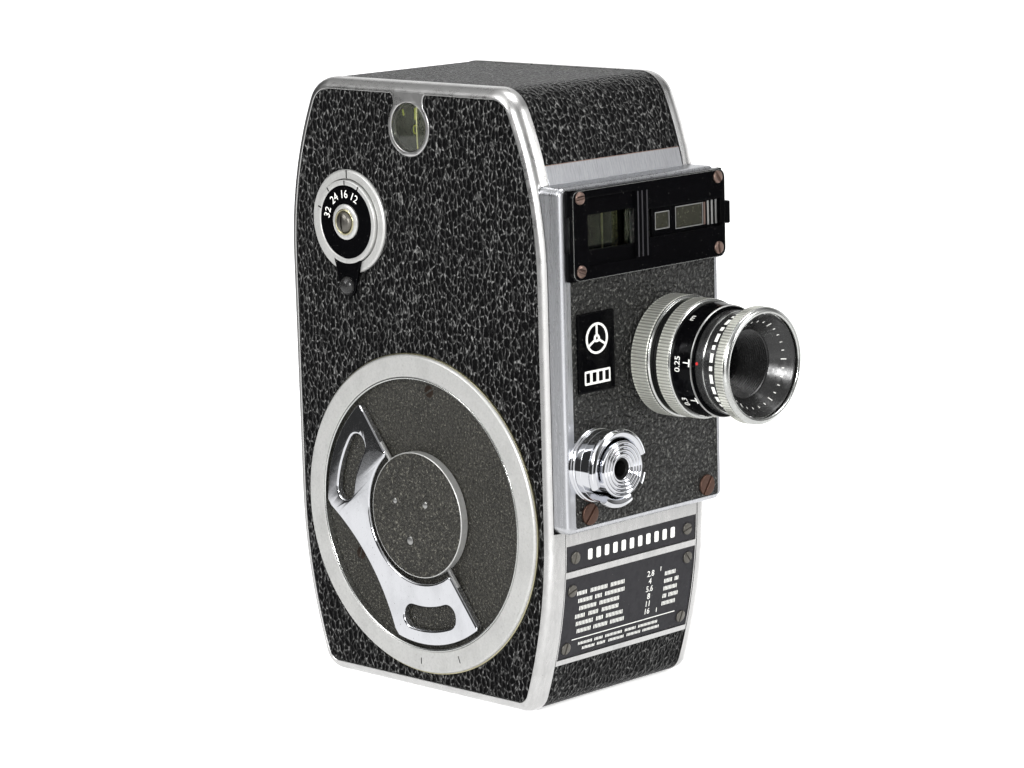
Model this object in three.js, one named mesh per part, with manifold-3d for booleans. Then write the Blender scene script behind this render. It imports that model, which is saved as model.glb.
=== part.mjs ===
// Spring-driven cine camera for 8 mm film, built as the separate pieces of the real object.
// Millimetres. +Z is up, the lens looks towards -Y, the winding key is on the -X side and the
// film door on the +X side. The origin is the centre of the base.
import * as THREE from "three";
import { mergeVertices } from "three/addons/utils/BufferGeometryUtils.js";
import Module from "manifold-3d";

const wasm = await Module();
wasm.setup();

// ---------------------------------------------------------------- driving dimensions
const HEIGHT = 125;
const HALF_DEPTH = 37;
const HALF_WIDTH = 23.5;
const SEAM_X = 19.6; // where the two side shells meet the casting
const GAP = 0.1; // between pieces that rest on each other
const RIM = { inset: 2.1, depth: 3 }; // rounding of the side shells' outer edge
const WALL = 2; // casting wall
const CASTING_INSET = 0.8; // the casting lies this far under the outline, below the leather
const SHELL_INSET = 2.2; // inner face of the side shells' rim
const SKIN_X = 22.9; // bottom of the leather recess in each side shell
const SKIN_INNER_X = 21.5; // inner face of the side shells
const LEATHER = { outer: 23.4, inner: 22.95, inset: 2.3 };
const FLANK = { high: 80, highZ: 88, low: 105, lowZ: 38 }; // radii and ends of the bulged flanks
const CORNER = { top: 7, bottom: 5 };
const PARTITION = { from: -1.5, to: 0.5 };

const BLOCK = { left: -22.3, right: 23.4, low: 37.8, high: 106.3, front: 40.25, back: 34.7 };
const FASCIA = { left: -19.7, right: 22.8, low: 39, high: 105.3 };
const STRIP_TOP = 110; // bright strip between the lens block and the leather above it
const PLATES = { half: 19.1, frameLow: 9.8, frameHigh: 37.7 };
const NAME_PLATE = { low: 29.5, high: 34.6 };
const EXPOSURE_PLATE = { low: 11, high: 28 };

const WELL = { y: -0.3, z: 37.2, outer: 32.9, inner: 28.2 };
const HUB_R = 13;
const HINGE_ANGLE = THREE.MathUtils.degToRad(52); // hinge line of the folding key, from +Y to +Z
const HINGE_X = -23.9;
const KEY = { inner: 14.3, outer: 27, from: -24.75, to: -23.05 };

const DIAL = { y: 18, z: 95.9, ring: 10.65, rim: 8.6 };
const COUNTER = { y: 0, z: 116.1, glass: 4.8, bezel: 5.9, diskZ: 106.5, diskR: 13.5 };
const FINDER = { left: -16, right: -2.8, low: 91.3, high: 103.5 };
const FINDER_PLATE = { left: -20.9, right: 23.7, low: 88, high: 105.8, back: 40.3, front: 42.25 };
const MASK = { left: 3, low: 93.8, high: 100.4, travel: 22.3 };
const EYEPIECE = { x: -9.5, z: 97.4, r: 6.5 };
const LENS = { x: 8.4, z: 69.9 };
const RELEASE = { x: -14.2, z: 51 };
const SOCKET_Y = -12;

const SPOOL = { r: 25.4, core: 13, from: 2.2, to: 19.2, y: 7.5, highZ: 93, lowZ: 33 };
const TEETH = { barrel: 48, large: 36, small: 12, crown: 20 };
const BARREL_MODULE = 1.1;
const TRAIN_MODULE = 0.6;
const CROWN_R = 6;
const SHUTTER_X = -5;

// ---------------------------------------------------------------- colours
const ALUMINIUM = [0xb9bcc4, 0.35, 0.9];
const NICKEL = [0xb9bca8, 0.4, 0.85];
const CHROME = [0xdfe2e6, 0.12, 1];
const LEATHERETTE = [0x17181a, 0.75, 0];
const CRACKLE = [0x2c2d2f, 0.65, 0.1];
const GLOSS_BLACK = [0x08080a, 0.15, 0.1];
const BLACK_METAL = [0x141417, 0.4, 0.4];
const BRASS = [0xb08d4a, 0.35, 0.9];
const STEEL = [0x8f9398, 0.35, 0.9];
const COPPER = [0x8a5540, 0.45, 0.8];
const GLASS = [0x8fa3a0, 0.05, 0];

// ---------------------------------------------------------------- solids
const AXIS_X = new THREE.Vector3(1, 0, 0);
const AXIS_Y = new THREE.Vector3(0, 1, 0);
const AXIS_Z = new THREE.Vector3(0, 0, 1);
// A drawing in (y, z) is extruded towards +X; a drawing in (x, z) is extruded towards -Y.
const TOWARDS_X = new THREE.Matrix4().makeBasis(AXIS_Y, AXIS_Z, AXIS_X);
const TOWARDS_FRONT = new THREE.Matrix4().makeBasis(AXIS_X, AXIS_Z, AXIS_Y.clone().negate());
// A turned profile has its height along the lathe's Y; this lays that height along X.
const TURNED_ON_X = new THREE.Matrix4().makeBasis(AXIS_Y, AXIS_X, AXIS_Z.clone().negate());

function manifoldOf(vertProperties, corners) {
  const triVerts = new Uint32Array(corners);
  return new wasm.Manifold(new wasm.Mesh({ numProp: 3, vertProperties, triVerts }));
}

// A closed three.js geometry as a manifold solid with its faces pointing out.
function solid(geometry) {
  const bare = geometry.clone();
  bare.deleteAttribute("normal");
  bare.deleteAttribute("uv");
  const merged = mergeVertices(bare, 1e-4);
  const source = merged.index.array;
  const corners = [];
  for (let i = 0; i < source.length; i += 3) {
    const [a, b, c] = source.slice(i, i + 3);
    if (a !== b && b !== c && c !== a) corners.push(a, b, c);
  }
  const vertices = merged.attributes.position.array;
  const made = manifoldOf(vertices, corners);
  return made.volume() > 0 ? made : manifoldOf(vertices, corners.reverse());
}

function arc(cx, cy, radius, from, to, steps) {
  const points = [];
  for (let i = 0; i <= steps; i++) {
    const angle = from + ((to - from) * i) / steps;
    points.push(new THREE.Vector2(cx + radius * Math.cos(angle), cy + radius * Math.sin(angle)));
  }
  return points;
}

function circle(cx, cy, radius, steps) {
  return arc(cx, cy, radius, 0, 2 * Math.PI * (1 - 1 / steps), steps - 1);
}

function rectangle(left, right, low, high, radius = 0) {
  if (radius === 0) {
    const corners = [[left, low], [right, low], [right, high], [left, high]];
    return corners.map(([x, y]) => new THREE.Vector2(x, y));
  }
  const quarter = Math.PI / 2;
  return [
    ...arc(left + radius, low + radius, radius, -2 * quarter, -quarter, 3),
    ...arc(right - radius, low + radius, radius, -quarter, 0, 3),
    ...arc(right - radius, high - radius, radius, 0, quarter, 3),
    ...arc(left + radius, high - radius, radius, quarter, 2 * quarter, 3),
  ];
}

function extruded(points, from, to, frame) {
  const options = { depth: to - from, bevelEnabled: false };
  const geometry = new THREE.ExtrudeGeometry(new THREE.Shape(points), options);
  return solid(geometry.translate(0, 0, from).applyMatrix4(frame));
}

// Prism of a (y, z) drawing between two x.
function alongX(points, from, to) {
  return extruded(points, from, to, TOWARDS_X);
}

// Prism of an (x, z) drawing between two depths, counted forwards from the middle of the body.
function forwards(points, from, to) {
  return extruded(points, from, to, TOWARDS_FRONT);
}

function box(x0, x1, y0, y1, z0, z1) {
  const geometry = new THREE.BoxGeometry(x1 - x0, y1 - y0, z1 - z0);
  return solid(geometry.translate((x0 + x1) / 2, (y0 + y1) / 2, (z0 + z1) / 2));
}

// A profile of [radius, height] pairs turned about its axis; a ring's profile closes on itself.
function lathe(profile, steps) {
  const points = profile.map(([r, h]) => new THREE.Vector2(r, h));
  const isRing = profile[0][0] > 0 || profile[profile.length - 1][0] > 0;
  if (isRing) points.push(points[0].clone());
  return new THREE.LatheGeometry(points, steps);
}

// Profile heights are x.
function turnedX(profile, y, z, steps = 24) {
  return solid(lathe(profile, steps).applyMatrix4(TURNED_ON_X).translate(0, y, z));
}

// Profile heights are distances forwards of the middle of the body, towards -Y.
function turnedForwards(profile, x, z, steps = 24) {
  const geometry = lathe(profile, steps).rotateX(Math.PI);
  return solid(geometry.translate(x, 0, z));
}

function rodX(radius, from, to, y, z, steps = 12) {
  return turnedX([[0, from], [radius, from], [radius, to], [0, to]], y, z, steps);
}

function rodForwards(radius, from, to, x, z, steps = 12) {
  return turnedForwards([[0, from], [radius, from], [radius, to], [0, to]], x, z, steps);
}

function mesh(name, body, [color, roughness, metalness]) {
  const { numProp, vertProperties, triVerts } = body.getMesh();
  const geometry = new THREE.BufferGeometry();
  geometry.setAttribute("position", new THREE.BufferAttribute(vertProperties, numProp));
  geometry.setIndex(new THREE.BufferAttribute(triVerts, 1));
  geometry.computeVertexNormals();
  const material = new THREE.MeshStandardMaterial({ color, roughness, metalness });
  const made = new THREE.Mesh(geometry, material);
  made.name = name;
  return made;
}

// ---------------------------------------------------------------- body outline
// The side view of the body, drawn inwards by inset: a flat top and bottom, upright front and
// back, and bulged flanks that run into rounded corners. Returns (y, z) points.
function outline(inset) {
  const highCentre = HALF_DEPTH - FLANK.high;
  const lowCentre = HALF_DEPTH - FLANK.low;
  const topZ = HEIGHT - CORNER.top;
  const topRise = topZ - FLANK.highZ;
  const lowFall = FLANK.lowZ - CORNER.bottom;
  const topY = highCentre + Math.sqrt((FLANK.high - CORNER.top) ** 2 - topRise ** 2);
  const bottomY = lowCentre + Math.sqrt((FLANK.low - CORNER.bottom) ** 2 - lowFall ** 2);
  const topAngle = Math.atan2(topRise, topY - highCentre);
  const lowAngle = Math.atan2(-lowFall, bottomY - lowCentre);
  const half = [
    ...arc(bottomY, CORNER.bottom, CORNER.bottom - inset, -Math.PI / 2, lowAngle, 4),
    ...arc(lowCentre, FLANK.lowZ, FLANK.low - inset, lowAngle, 0, 3).slice(1),
    ...arc(highCentre, FLANK.highZ, FLANK.high - inset, 0, topAngle, 3),
    ...arc(topY, topZ, CORNER.top - inset, topAngle, Math.PI / 2, 4).slice(1),
  ];
  const mirrored = half.map((p) => new THREE.Vector2(-p.x, p.y)).reverse();
  return [...half, ...mirrored];
}

// Band that follows the outline between two insets.
function band(outer, inner, from, to) {
  return alongX(outline(outer), from, to).subtract(alongX(outline(inner), from - 1, to + 1));
}

// Solid through outlines of given inset at given x, closed by its two end faces.
function loftX(sections) {
  const rings = sections.map(({ inset, x }) => outline(inset).map((p) => [x, p.x, p.y]));
  const count = rings[0].length;
  const corners = [];
  for (let s = 0; s + 1 < rings.length; s++) {
    for (let i = 0; i < count; i++) {
      const a = s * count + i;
      const b = s * count + ((i + 1) % count);
      corners.push(a, b, b + count, a, b + count, a + count);
    }
  }
  const last = (rings.length - 1) * count;
  for (let i = 1; i + 1 < count; i++) {
    corners.push(0, i + 1, i, last, last + i, last + i + 1);
  }
  const geometry = new THREE.BufferGeometry();
  const positions = new Float32Array(rings.flat(2));
  geometry.setAttribute("position", new THREE.BufferAttribute(positions, 3));
  geometry.setIndex(corners);
  return solid(geometry);
}

// ---------------------------------------------------------------- side shells
// Rounded rim and flat side on one side of the body; side is -1 or +1 along X.
function sideShell(side) {
  const steps = 4;
  const sections = [];
  for (let i = 0; i <= steps; i++) {
    const angle = (Math.PI / 2) * (i / steps);
    const x = side * (HALF_WIDTH - RIM.depth * (1 - Math.cos(angle)));
    sections.push({ inset: RIM.inset * (1 - Math.sin(angle)), x });
  }
  sections.push({ inset: 0, x: side * SEAM_X });
  const inner = alongX(outline(SHELL_INSET), ...sorted(side * SKIN_INNER_X, side * (SEAM_X - 1)));
  return loftX(sections).subtract(inner);
}

function sorted(a, b) {
  return [Math.min(a, b), Math.max(a, b)];
}

function leatherRecess(side) {
  return alongX(outline(LEATHER.inset - 0.15), ...sorted(side * SKIN_X, side * 25));
}

function leatherSheet(side) {
  return alongX(outline(LEATHER.inset), ...sorted(side * LEATHER.inner, side * LEATHER.outer));
}

// Land around the counter window: a bezel joined to the top rim by a neck with fillets.
function keyhole(grow) {
  const neck = 4.25 + grow;
  const topZ = HEIGHT - RIM.inset;
  const fillet = 1.5;
  const bottomZ = topZ - fillet - grow;
  const foot = box(-26, -21, -neck - fillet, neck + fillet, bottomZ, topZ + 1);
  const left = rodX(fillet, -27, -20, -neck - fillet, bottomZ);
  const right = rodX(fillet, -27, -20, neck + fillet, bottomZ);
  return rodX(COUNTER.bezel + grow, -26, -21, COUNTER.y, COUNTER.z, 24)
    .add(box(-26, -21, -neck, neck, COUNTER.z, topZ + 1))
    .add(foot.subtract(left).subtract(right));
}

// Room for the lens block's side, cut from the rim of a side shell.
function blockSeat(from, to) {
  const low = BLOCK.low - GAP;
  const high = BLOCK.high + GAP;
  return box(from, to, -BLOCK.front - 2, -BLOCK.back + GAP, low, high);
}

function motorCover() {
  const windowR = COUNTER.glass + 0.15;
  const recess = leatherRecess(-1).subtract(keyhole(0));
  return sideShell(-1)
    .subtract(recess)
    .subtract(rodX(WELL.outer + 0.3, -25, -22.6, WELL.y, WELL.z, 40))
    .subtract(rodX(9, -25, -18, WELL.y, WELL.z, 24))
    .subtract(rodX(3.2, -25, -18, DIAL.y, DIAL.z))
    .subtract(rodX(windowR, -25, -18, COUNTER.y, COUNTER.z, 20))
    .subtract(blockSeat(BLOCK.left - GAP, -18));
}

function motorCoverLeather() {
  return leatherSheet(-1)
    .subtract(keyhole(0.15))
    .subtract(rodX(WELL.outer + 0.4, -25, -20, WELL.y, WELL.z, 40))
    .subtract(rodX(5, -25, -20, DIAL.y, DIAL.z, 16));
}

const LATCH = { y: 0, z: 30, r: 9 };

function filmDoor() {
  return sideShell(1)
    .subtract(leatherRecess(1))
    .subtract(rodX(LATCH.r + 0.3, SKIN_X - 0.6, 25, LATCH.y, LATCH.z, 28))
    .subtract(rodX(3.3, 18, 25, LATCH.y, LATCH.z))
    .subtract(blockSeat(18, 25));
}

function filmDoorLeather() {
  return leatherSheet(1).subtract(rodX(LATCH.r + 0.4, 20, 25, LATCH.y, LATCH.z, 28));
}

// Round lock with a raised finger bar outside and a locking tongue inside.
function doorLatch() {
  const { y, z, r } = LATCH;
  const face = 23.3;
  const bar = rectangle(y - 1.6, y + 1.6, z - 7.6, z + 7.6, 1.5);
  const tongue = rectangle(y - 3, y + 3, z - 3, z + 3, 1);
  return turnedX([[0, 20], [3, 20], [3, 22.4], [r, 22.4], [r, face], [0, face]], y, z, 28)
    .add(alongX(bar, face - 0.2, 25))
    .add(alongX(tongue, 19.9, 21.1));
}

// Way through the front walls for the finder's tube and lens.
function finderOpening() {
  const { left, right, low, high } = FINDER;
  return forwards(rectangle(left - 1.5, right + 1.2, low - 1.3, high + 1.3), 30, 45);
}

// ---------------------------------------------------------------- casting
function mainCasting() {
  const inner = CASTING_INSET + WALL;
  const walls = band(CASTING_INSET, inner, -SEAM_X + GAP, SEAM_X - GAP);
  const partition = alongX(outline(inner - 0.5), PARTITION.from, PARTITION.to);
  const plateFrame = band(0.15, CASTING_INSET + 0.2, -SEAM_X + GAP, SEAM_X - GAP)
    .intersect(box(-30, 30, -50, 0, PLATES.frameLow, PLATES.frameHigh));
  let casting = walls.add(partition).add(plateFrame);
  for (const plate of [NAME_PLATE, EXPOSURE_PLATE]) {
    const half = PLATES.half + GAP;
    const pocket = box(-half, half, -50, 0, plate.low - GAP, plate.high + GAP);
    casting = casting.subtract(band(-1, 0.7, -half, half).intersect(pocket));
  }
  const feedPost = rodX(2, PARTITION.to - 0.5, 20.2, SPOOL.y, SPOOL.highZ);
  return casting
    .add(feedPost)
    .subtract(rodForwards(11.2, 30, 45, LENS.x, LENS.z, 24))
    .subtract(finderOpening())
    .subtract(rodForwards(4.2, 30, 45, RELEASE.x, RELEASE.z, 16))
    .subtract(rodForwards(5.4, -45, -30, EYEPIECE.x, EYEPIECE.z, 24))
    .subtract(rodX(4.4, -3, 2, WELL.y, WELL.z, 16))
    .subtract(rodX(1.3, -3, 2, ARBOR_B.y, ARBOR_B.z))
    .subtract(rodX(1.3, -3, 2, ARBOR_C.y, ARBOR_C.z))
    .subtract(rodX(1.3, -3, 2, COUNTER.y, COUNTER.diskZ))
    .subtract(rodX(2.3, -3, 2, SPOOL.y, SPOOL.lowZ))
    .subtract(box(-3, 2, -35, -31.6, LENS.z - 17.5, LENS.z + 17.5))
    .subtract(box(-3, 2, -18, -12, LENS.z - 4.2, LENS.z + 4.2))
    .subtract(box(-9.3, 9.3, SOCKET_Y - 10.3, SOCKET_Y + 20.3, -1, 1.5))
    .subtract(solid(new THREE.CylinderGeometry(7.9, 7.9, 20, 20).rotateX(Math.PI / 2)
      .translate(0, SOCKET_Y, 0)));
}

function bandLeather() {
  const front = box(-30, 30, -60, 0, PLATES.frameLow - GAP, STRIP_TOP + GAP);
  const base = box(-9.4, 9.4, SOCKET_Y - 10.4, SOCKET_Y + 20.4, -1, 2);
  return band(0.15, CASTING_INSET - 0.05, -SEAM_X + 0.25, SEAM_X - 0.25)
    .subtract(front)
    .subtract(base)
    .subtract(rodForwards(EYEPIECE.r + 0.2, -45, -30, EYEPIECE.x, EYEPIECE.z, 24));
}

// Bush plate flush with the base, with a blind socket for a tripod screw.
function tripodPlate() {
  const plate = box(-9, 9, SOCKET_Y - 10, SOCKET_Y + 20, 0, 1.4);
  const boss = solid(new THREE.CylinderGeometry(7.6, 7.6, 9, 20).rotateX(Math.PI / 2)
    .translate(0, SOCKET_Y, 4.5));
  const socket = solid(new THREE.CylinderGeometry(4.7, 4.7, 9, 16).rotateX(Math.PI / 2)
    .translate(0, SOCKET_Y, 3.2));
  return plate.add(boss).subtract(socket);
}

// ---------------------------------------------------------------- lens block and fascia
function lensBlock() {
  const bevel = 1;
  const points = rectangle(BLOCK.left + bevel, BLOCK.right - bevel, BLOCK.low + bevel, BLOCK.high - bevel, 1);
  const options = {
    depth: BLOCK.front - BLOCK.back,
    bevelSize: bevel,
    bevelThickness: bevel,
    bevelSegments: 3,
  };
  const geometry = new THREE.ExtrudeGeometry(new THREE.Shape(points), options);
  geometry.translate(0, 0, BLOCK.back - bevel).applyMatrix4(TOWARDS_FRONT);
  const body = alongX(outline(CASTING_INSET - 0.05), -SEAM_X, SEAM_X);
  const behind = box(-30, 30, -BLOCK.back, 0, 0, 130);
  const frame = alongX(outline(0.05), -SEAM_X, SEAM_X).intersect(box(-30, 30, -60, 0, 0, BLOCK.low + 2));
  const strip = band(0.05, CASTING_INSET - 0.05, -SEAM_X + 0.2, SEAM_X - 0.2)
    .intersect(box(-30, 30, -60, 0, BLOCK.high - 1, STRIP_TOP));
  const pocket = rectangle(FASCIA.left - GAP, FASCIA.right + GAP, FASCIA.low - GAP, FASCIA.high + GAP);
  return solid(geometry)
    .subtract(behind)
    .add(strip)
    .subtract(body)
    .subtract(frame)
    .subtract(forwards(pocket, BLOCK.front - 0.55, 45))
    .subtract(rodForwards(11.2, 30, 45, LENS.x, LENS.z, 24))
    .subtract(finderOpening())
    .subtract(rodForwards(4.2, 30, 45, RELEASE.x, RELEASE.z, 16));
}

function frontFascia() {
  const back = BLOCK.front - 0.5;
  const front = BLOCK.front - 0.05;
  return forwards(rectangle(FASCIA.left, FASCIA.right, FASCIA.low, FASCIA.high, 0.6), back, front)
    .subtract(rodForwards(11.2, 30, 45, LENS.x, LENS.z, 24))
    .subtract(finderOpening())
    .subtract(rodForwards(4.3, 30, 45, RELEASE.x, RELEASE.z, 16));
}

// Raised plaque with a plain ring in relief.
function badgePlaque() {
  const base = forwards(rectangle(-18.5, -8.2, 65.5, 81.3, 0.4), BLOCK.front, BLOCK.front + 0.5);
  const ring = turnedForwards([[2.6, 40.6], [3.6, 40.6], [3.6, 41], [2.6, 41]], -13.35, 73.4, 16);
  return base.add(ring);
}

// Flat plate that follows the curved lower front, between two heights.
function frontPlate({ low, high }) {
  return band(0.2, 0.6, -PLATES.half, PLATES.half)
    .intersect(box(-30, 30, -60, 0, low, high));
}

// Low countersunk head with a slot across it, on a face at a given depth.
function slottedScrew(x, z, radius, depth, angle) {
  const head = turnedForwards(
    [[0, depth], [radius, depth], [radius, depth + 0.25], [radius * 0.7, depth + 0.5], [0, depth + 0.6]],
    0, 0, 16);
  const slot = box(-radius - 1, radius + 1, -depth - 2, -depth - 0.25, -0.3, 0.3);
  const turn = THREE.MathUtils.radToDeg(angle);
  return head.subtract(slot).rotate([0, turn, 0]).translate([x, 0, z]);
}

// ---------------------------------------------------------------- viewfinder
function finderPlate() {
  const { left, right, low, high, back, front } = FINDER_PLATE;
  const channelLeft = MASK.left - MASK.travel - 0.5;
  const channel = rectangle(channelLeft, right + 1, MASK.low - 0.2, MASK.high + 0.2);
  const slot = rectangle(0.9, right + 1, 94.3, 100);
  return forwards(rectangle(left, right, low, high, 1.8), back, front)
    .subtract(forwards(rectangle(FINDER.left, FINDER.right, FINDER.low, FINDER.high, 0.5), 39, 45))
    .subtract(forwards(channel, back - 1, back + 1))
    .subtract(forwards(slot, back - 1, 45));
}

// Sliding field mask with a medium and a small window and a finger tab at its end.
function finderMask() {
  const back = FINDER_PLATE.back + 0.2;
  const plate = forwards(rectangle(MASK.left, 24.6, MASK.low, MASK.high), back, back + 0.6);
  const tab = box(23.7, 24.7, -42.7, -back, 94.6, 99.2);
  return plate
    .add(tab)
    .subtract(forwards(rectangle(4, 8, 95.4, 98.9), 39, 45))
    .subtract(forwards(rectangle(10, 18.6, 94.9, 99.4), 39, 45));
}

function finderFrontLens() {
  const { left, right, low, high } = FINDER;
  const slab = forwards(rectangle(left - 1.2, right + 0.9, low - 1, high + 1), 37.4, 39.6);
  const middle = [(left + right) / 2, (low + high) / 2];
  return slab.subtract(turnedForwards([[0, 38.2], [5, 38.5], [5, 41], [0, 41]], ...middle, 20));
}

function finderTube() {
  const { left, right, low, high } = FINDER;
  const outer = rectangle(left - 1.2, right + 0.9, low - 1, high + 1);
  const inner = rectangle(left - 0.5, right + 0.3, low - 0.4, high + 0.4);
  return forwards(outer, -31.5, 37).subtract(forwards(inner, -32.5, 38));
}

function finderEyepiece() {
  const back = -38.4;
  return turnedForwards(
    [[4.6, back], [EYEPIECE.r - 0.4, back], [EYEPIECE.r, back + 0.4], [EYEPIECE.r, -36.9], [5.2, -36.9],
      [5.2, -33], [4.6, -33]],
    EYEPIECE.x, EYEPIECE.z);
}

function finderEyeLens() {
  return turnedForwards(
    [[0, -37.4], [2.4, -37.2], [4.5, -36.6], [4.5, -35.4], [0, -35.4]], EYEPIECE.x, EYEPIECE.z, 16);
}

// ---------------------------------------------------------------- footage counter and speed dial
function counterGlass() {
  return turnedX([[0, -23.35], [2.6, -23.25], [COUNTER.glass, -23.0], [COUNTER.glass, -22.5], [0, -22.5]],
    COUNTER.y, COUNTER.z, 16);
}

function counterIndex() {
  return box(-22.35, -22.05, -1.65, -1.35, COUNTER.z - 4.2, COUNTER.z + 4.2);
}

function counterDial() {
  const { y, diskZ, diskR } = COUNTER;
  return turnedX(
    [[0, -21.3], [diskR, -21.3], [diskR, -20.7], [2.4, -20.7], [2.4, -18.6], [1, -18.6], [1, 1.2], [0, 1.2]],
    y, diskZ, 24);
}

// Fixed bright ring under the speed dial, with an index notch at the top.
function speedRing() {
  const ring = turnedX(
    [[DIAL.rim + 0.2, -23.45], [DIAL.ring, -23.45], [DIAL.ring - 0.3, -24.1], [DIAL.rim + 0.2, -24.1]],
    DIAL.y, DIAL.z, 28);
  const notch = box(-25, -23.9, DIAL.y - 0.15, DIAL.y + 0.15, DIAL.z + 9, DIAL.z + 12);
  return ring.subtract(notch);
}

// Dial with its stem and a lever that hangs over the ring and ends in a domed knob.
function speedDial() {
  const disk = turnedX(
    [[0, -18.2], [2.6, -18.2], [2.6, -23.6], [DIAL.rim, -23.6], [DIAL.rim, -24.5], [DIAL.rim - 0.3, -24.8],
      [7.5, -24.8], [7.5, -24.6], [0, -24.6]],
    DIAL.y, DIAL.z, 28);
  const tipZ = DIAL.z - 13.1;
  const lever = alongX([
    new THREE.Vector2(DIAL.y + 4, DIAL.z - 7.4),
    ...arc(DIAL.y, tipZ, 2.3, 0, -Math.PI, 6),
    new THREE.Vector2(DIAL.y - 4, DIAL.z - 7.4),
  ], -24.85, -24.2);
  const knob = turnedX([[0, -26.1], [1.2, -25.8], [1.9, -25], [1.9, -24.3], [0, -24.3]], DIAL.y, tipZ, 12);
  return disk.add(lever).add(knob);
}

function speedDialScrew() {
  const head = turnedX(
    [[0, -26.1], [1.4, -25.9], [2.4, -25.2], [3.7, -25.0], [3.7, -24.7], [0, -24.7]], DIAL.y, DIAL.z, 16);
  return head.subtract(box(-27, -25.6, DIAL.y - 0.3, DIAL.y + 0.3, DIAL.z - 3, DIAL.z + 3));
}

// ---------------------------------------------------------------- winding key
function windingRing() {
  const { y, z, outer, inner } = WELL;
  return turnedX(
    [[inner, -22.7], [outer, -22.7], [outer, -24.1], [outer - 0.4, -24.4], [inner, -24.4]], y, z, 40);
}

function wellPlate() {
  const { y, z, inner } = WELL;
  return turnedX([[9.2, -22.7], [inner - 0.15, -22.7], [inner - 0.15, -22.95], [9.2, -22.95]], y, z, 32);
}

// Points of a drawing made with its first axis along the fold direction of the key, turned into (y, z).
function keyPoint(radius, angle) {
  const turned = HINGE_ANGLE - Math.PI / 2 + angle;
  return new THREE.Vector2(WELL.y + radius * Math.cos(turned), WELL.z + radius * Math.sin(turned));
}

function keyHub() {
  const boss = 8.7;
  const profile = [
    [0, -25], [HUB_R - 0.3, -25], [HUB_R, -24.7], [HUB_R, -23.15], [boss, -23.15], [boss, -20.8], [0, -20.8],
  ];
  return turnedX(profile, WELL.y, WELL.z, 28).subtract(hingeRod(0.6, 20));
}

// Rod along the key's hinge line, through the centre of the hub.
function hingeRod(radius, reach) {
  const geometry = new THREE.CylinderGeometry(radius, radius, 2 * reach, 8);
  geometry.rotateX(HINGE_ANGLE);
  return solid(geometry.translate(HINGE_X, WELL.y, WELL.z));
}

// Half disk around the hub, cut back to a narrow band in the middle and pierced in each ear.
function keyHandle() {
  const { inner, outer, from, to } = KEY;
  const quarter = Math.PI / 2;
  const steps = 20;
  const points = [];
  for (let i = 0; i <= steps; i++) points.push(keyPoint(outer, -quarter + (Math.PI * i) / steps));
  for (let i = steps; i >= 0; i--) points.push(keyPoint(inner, -quarter + (Math.PI * i) / steps));
  const cutCentre = keyPoint(65.5, 0);
  let handle = alongX(points, from, to)
    .subtract(rodX(46.5, -26, -22, cutCentre.x, cutCentre.y, 72))
    .subtract(hingeRod(0.75, 18));
  for (const side of [-1, 1]) handle = handle.subtract(kidneySlot(side));
  return handle;
}

function kidneySlot(side) {
  const slot = { r: 21.5, half: 2.4, from: 45.5, to: 73 };
  const start = THREE.MathUtils.degToRad(slot.from) * side;
  const end = THREE.MathUtils.degToRad(slot.to) * side;
  const steps = 6;
  const step = (end - start) / steps;
  const points = [];
  for (let i = 0; i <= steps; i++) points.push(keyPoint(slot.r + slot.half, start + step * i));
  for (let i = steps; i >= 0; i--) points.push(keyPoint(slot.r - slot.half, start + step * i));
  const first = keyPoint(slot.r, start);
  const last = keyPoint(slot.r, end);
  return alongX(points, -26, -22)
    .add(rodX(slot.half, -26, -22, first.x, first.y))
    .add(rodX(slot.half, -26, -22, last.x, last.y));
}

function keyPin() {
  return hingeRod(0.5, 17.4);
}

// ---------------------------------------------------------------- spring motor and gear train
// Trapezoid teeth with a tooth centred on the given angle; returns (u, v) points.
function gearPoints(cx, cy, teeth, module, phase) {
  const pitch = (2 * Math.PI) / teeth;
  const tip = (module * teeth) / 2 + 0.75 * module;
  const root = (module * teeth) / 2 - 1.0 * module;
  const points = [];
  for (let i = 0; i < teeth; i++) {
    const middle = phase + i * pitch;
    for (const [radius, offset] of [[root, -0.3], [tip, -0.12], [tip, 0.12], [root, 0.3]]) {
      const angle = middle + offset * pitch;
      points.push(new THREE.Vector2(cx + radius * Math.cos(angle), cy + radius * Math.sin(angle)));
    }
  }
  return points;
}

// Where an arbor stands so that its gear meets two others at the given centre distances.
function meshCentre(a, b, fromA, fromB) {
  const dy = b.y - a.y;
  const dz = b.z - a.z;
  const apart = Math.hypot(dy, dz);
  const along = (fromA ** 2 - fromB ** 2 + apart ** 2) / (2 * apart);
  const across = Math.sqrt(fromA ** 2 - along ** 2);
  return {
    y: a.y + (along * dy + across * dz) / apart,
    z: a.z + (along * dz - across * dy) / apart,
  };
}

function bearing(a, b) {
  return Math.atan2(b.z - a.z, b.y - a.y);
}

const ARBOR_A = { y: WELL.y, z: WELL.z };
const ARBOR_C = { y: -9, z: LENS.z };
const ARBOR_B = meshCentre(
  ARBOR_A,
  ARBOR_C,
  ((TEETH.barrel + TEETH.small) * BARREL_MODULE) / 2,
  ((TEETH.large + TEETH.small) * TRAIN_MODULE) / 2,
);
const HALF_SMALL_PITCH = Math.PI / TEETH.small;

function springBarrel() {
  const { y, z } = ARBOR_A;
  const phase = bearing(ARBOR_A, ARBOR_B);
  const wheel = alongX(gearPoints(y, z, TEETH.barrel, BARREL_MODULE, phase), -20.2, -17.2);
  return wheel
    .add(rodX(24.2, -17.5, -8.6, y, z, 32))
    .subtract(rodX(23.2, -18.7, -8, y, z, 32))
    .subtract(rodX(4.5, -22, -18, y, z, 16));
}

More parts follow.
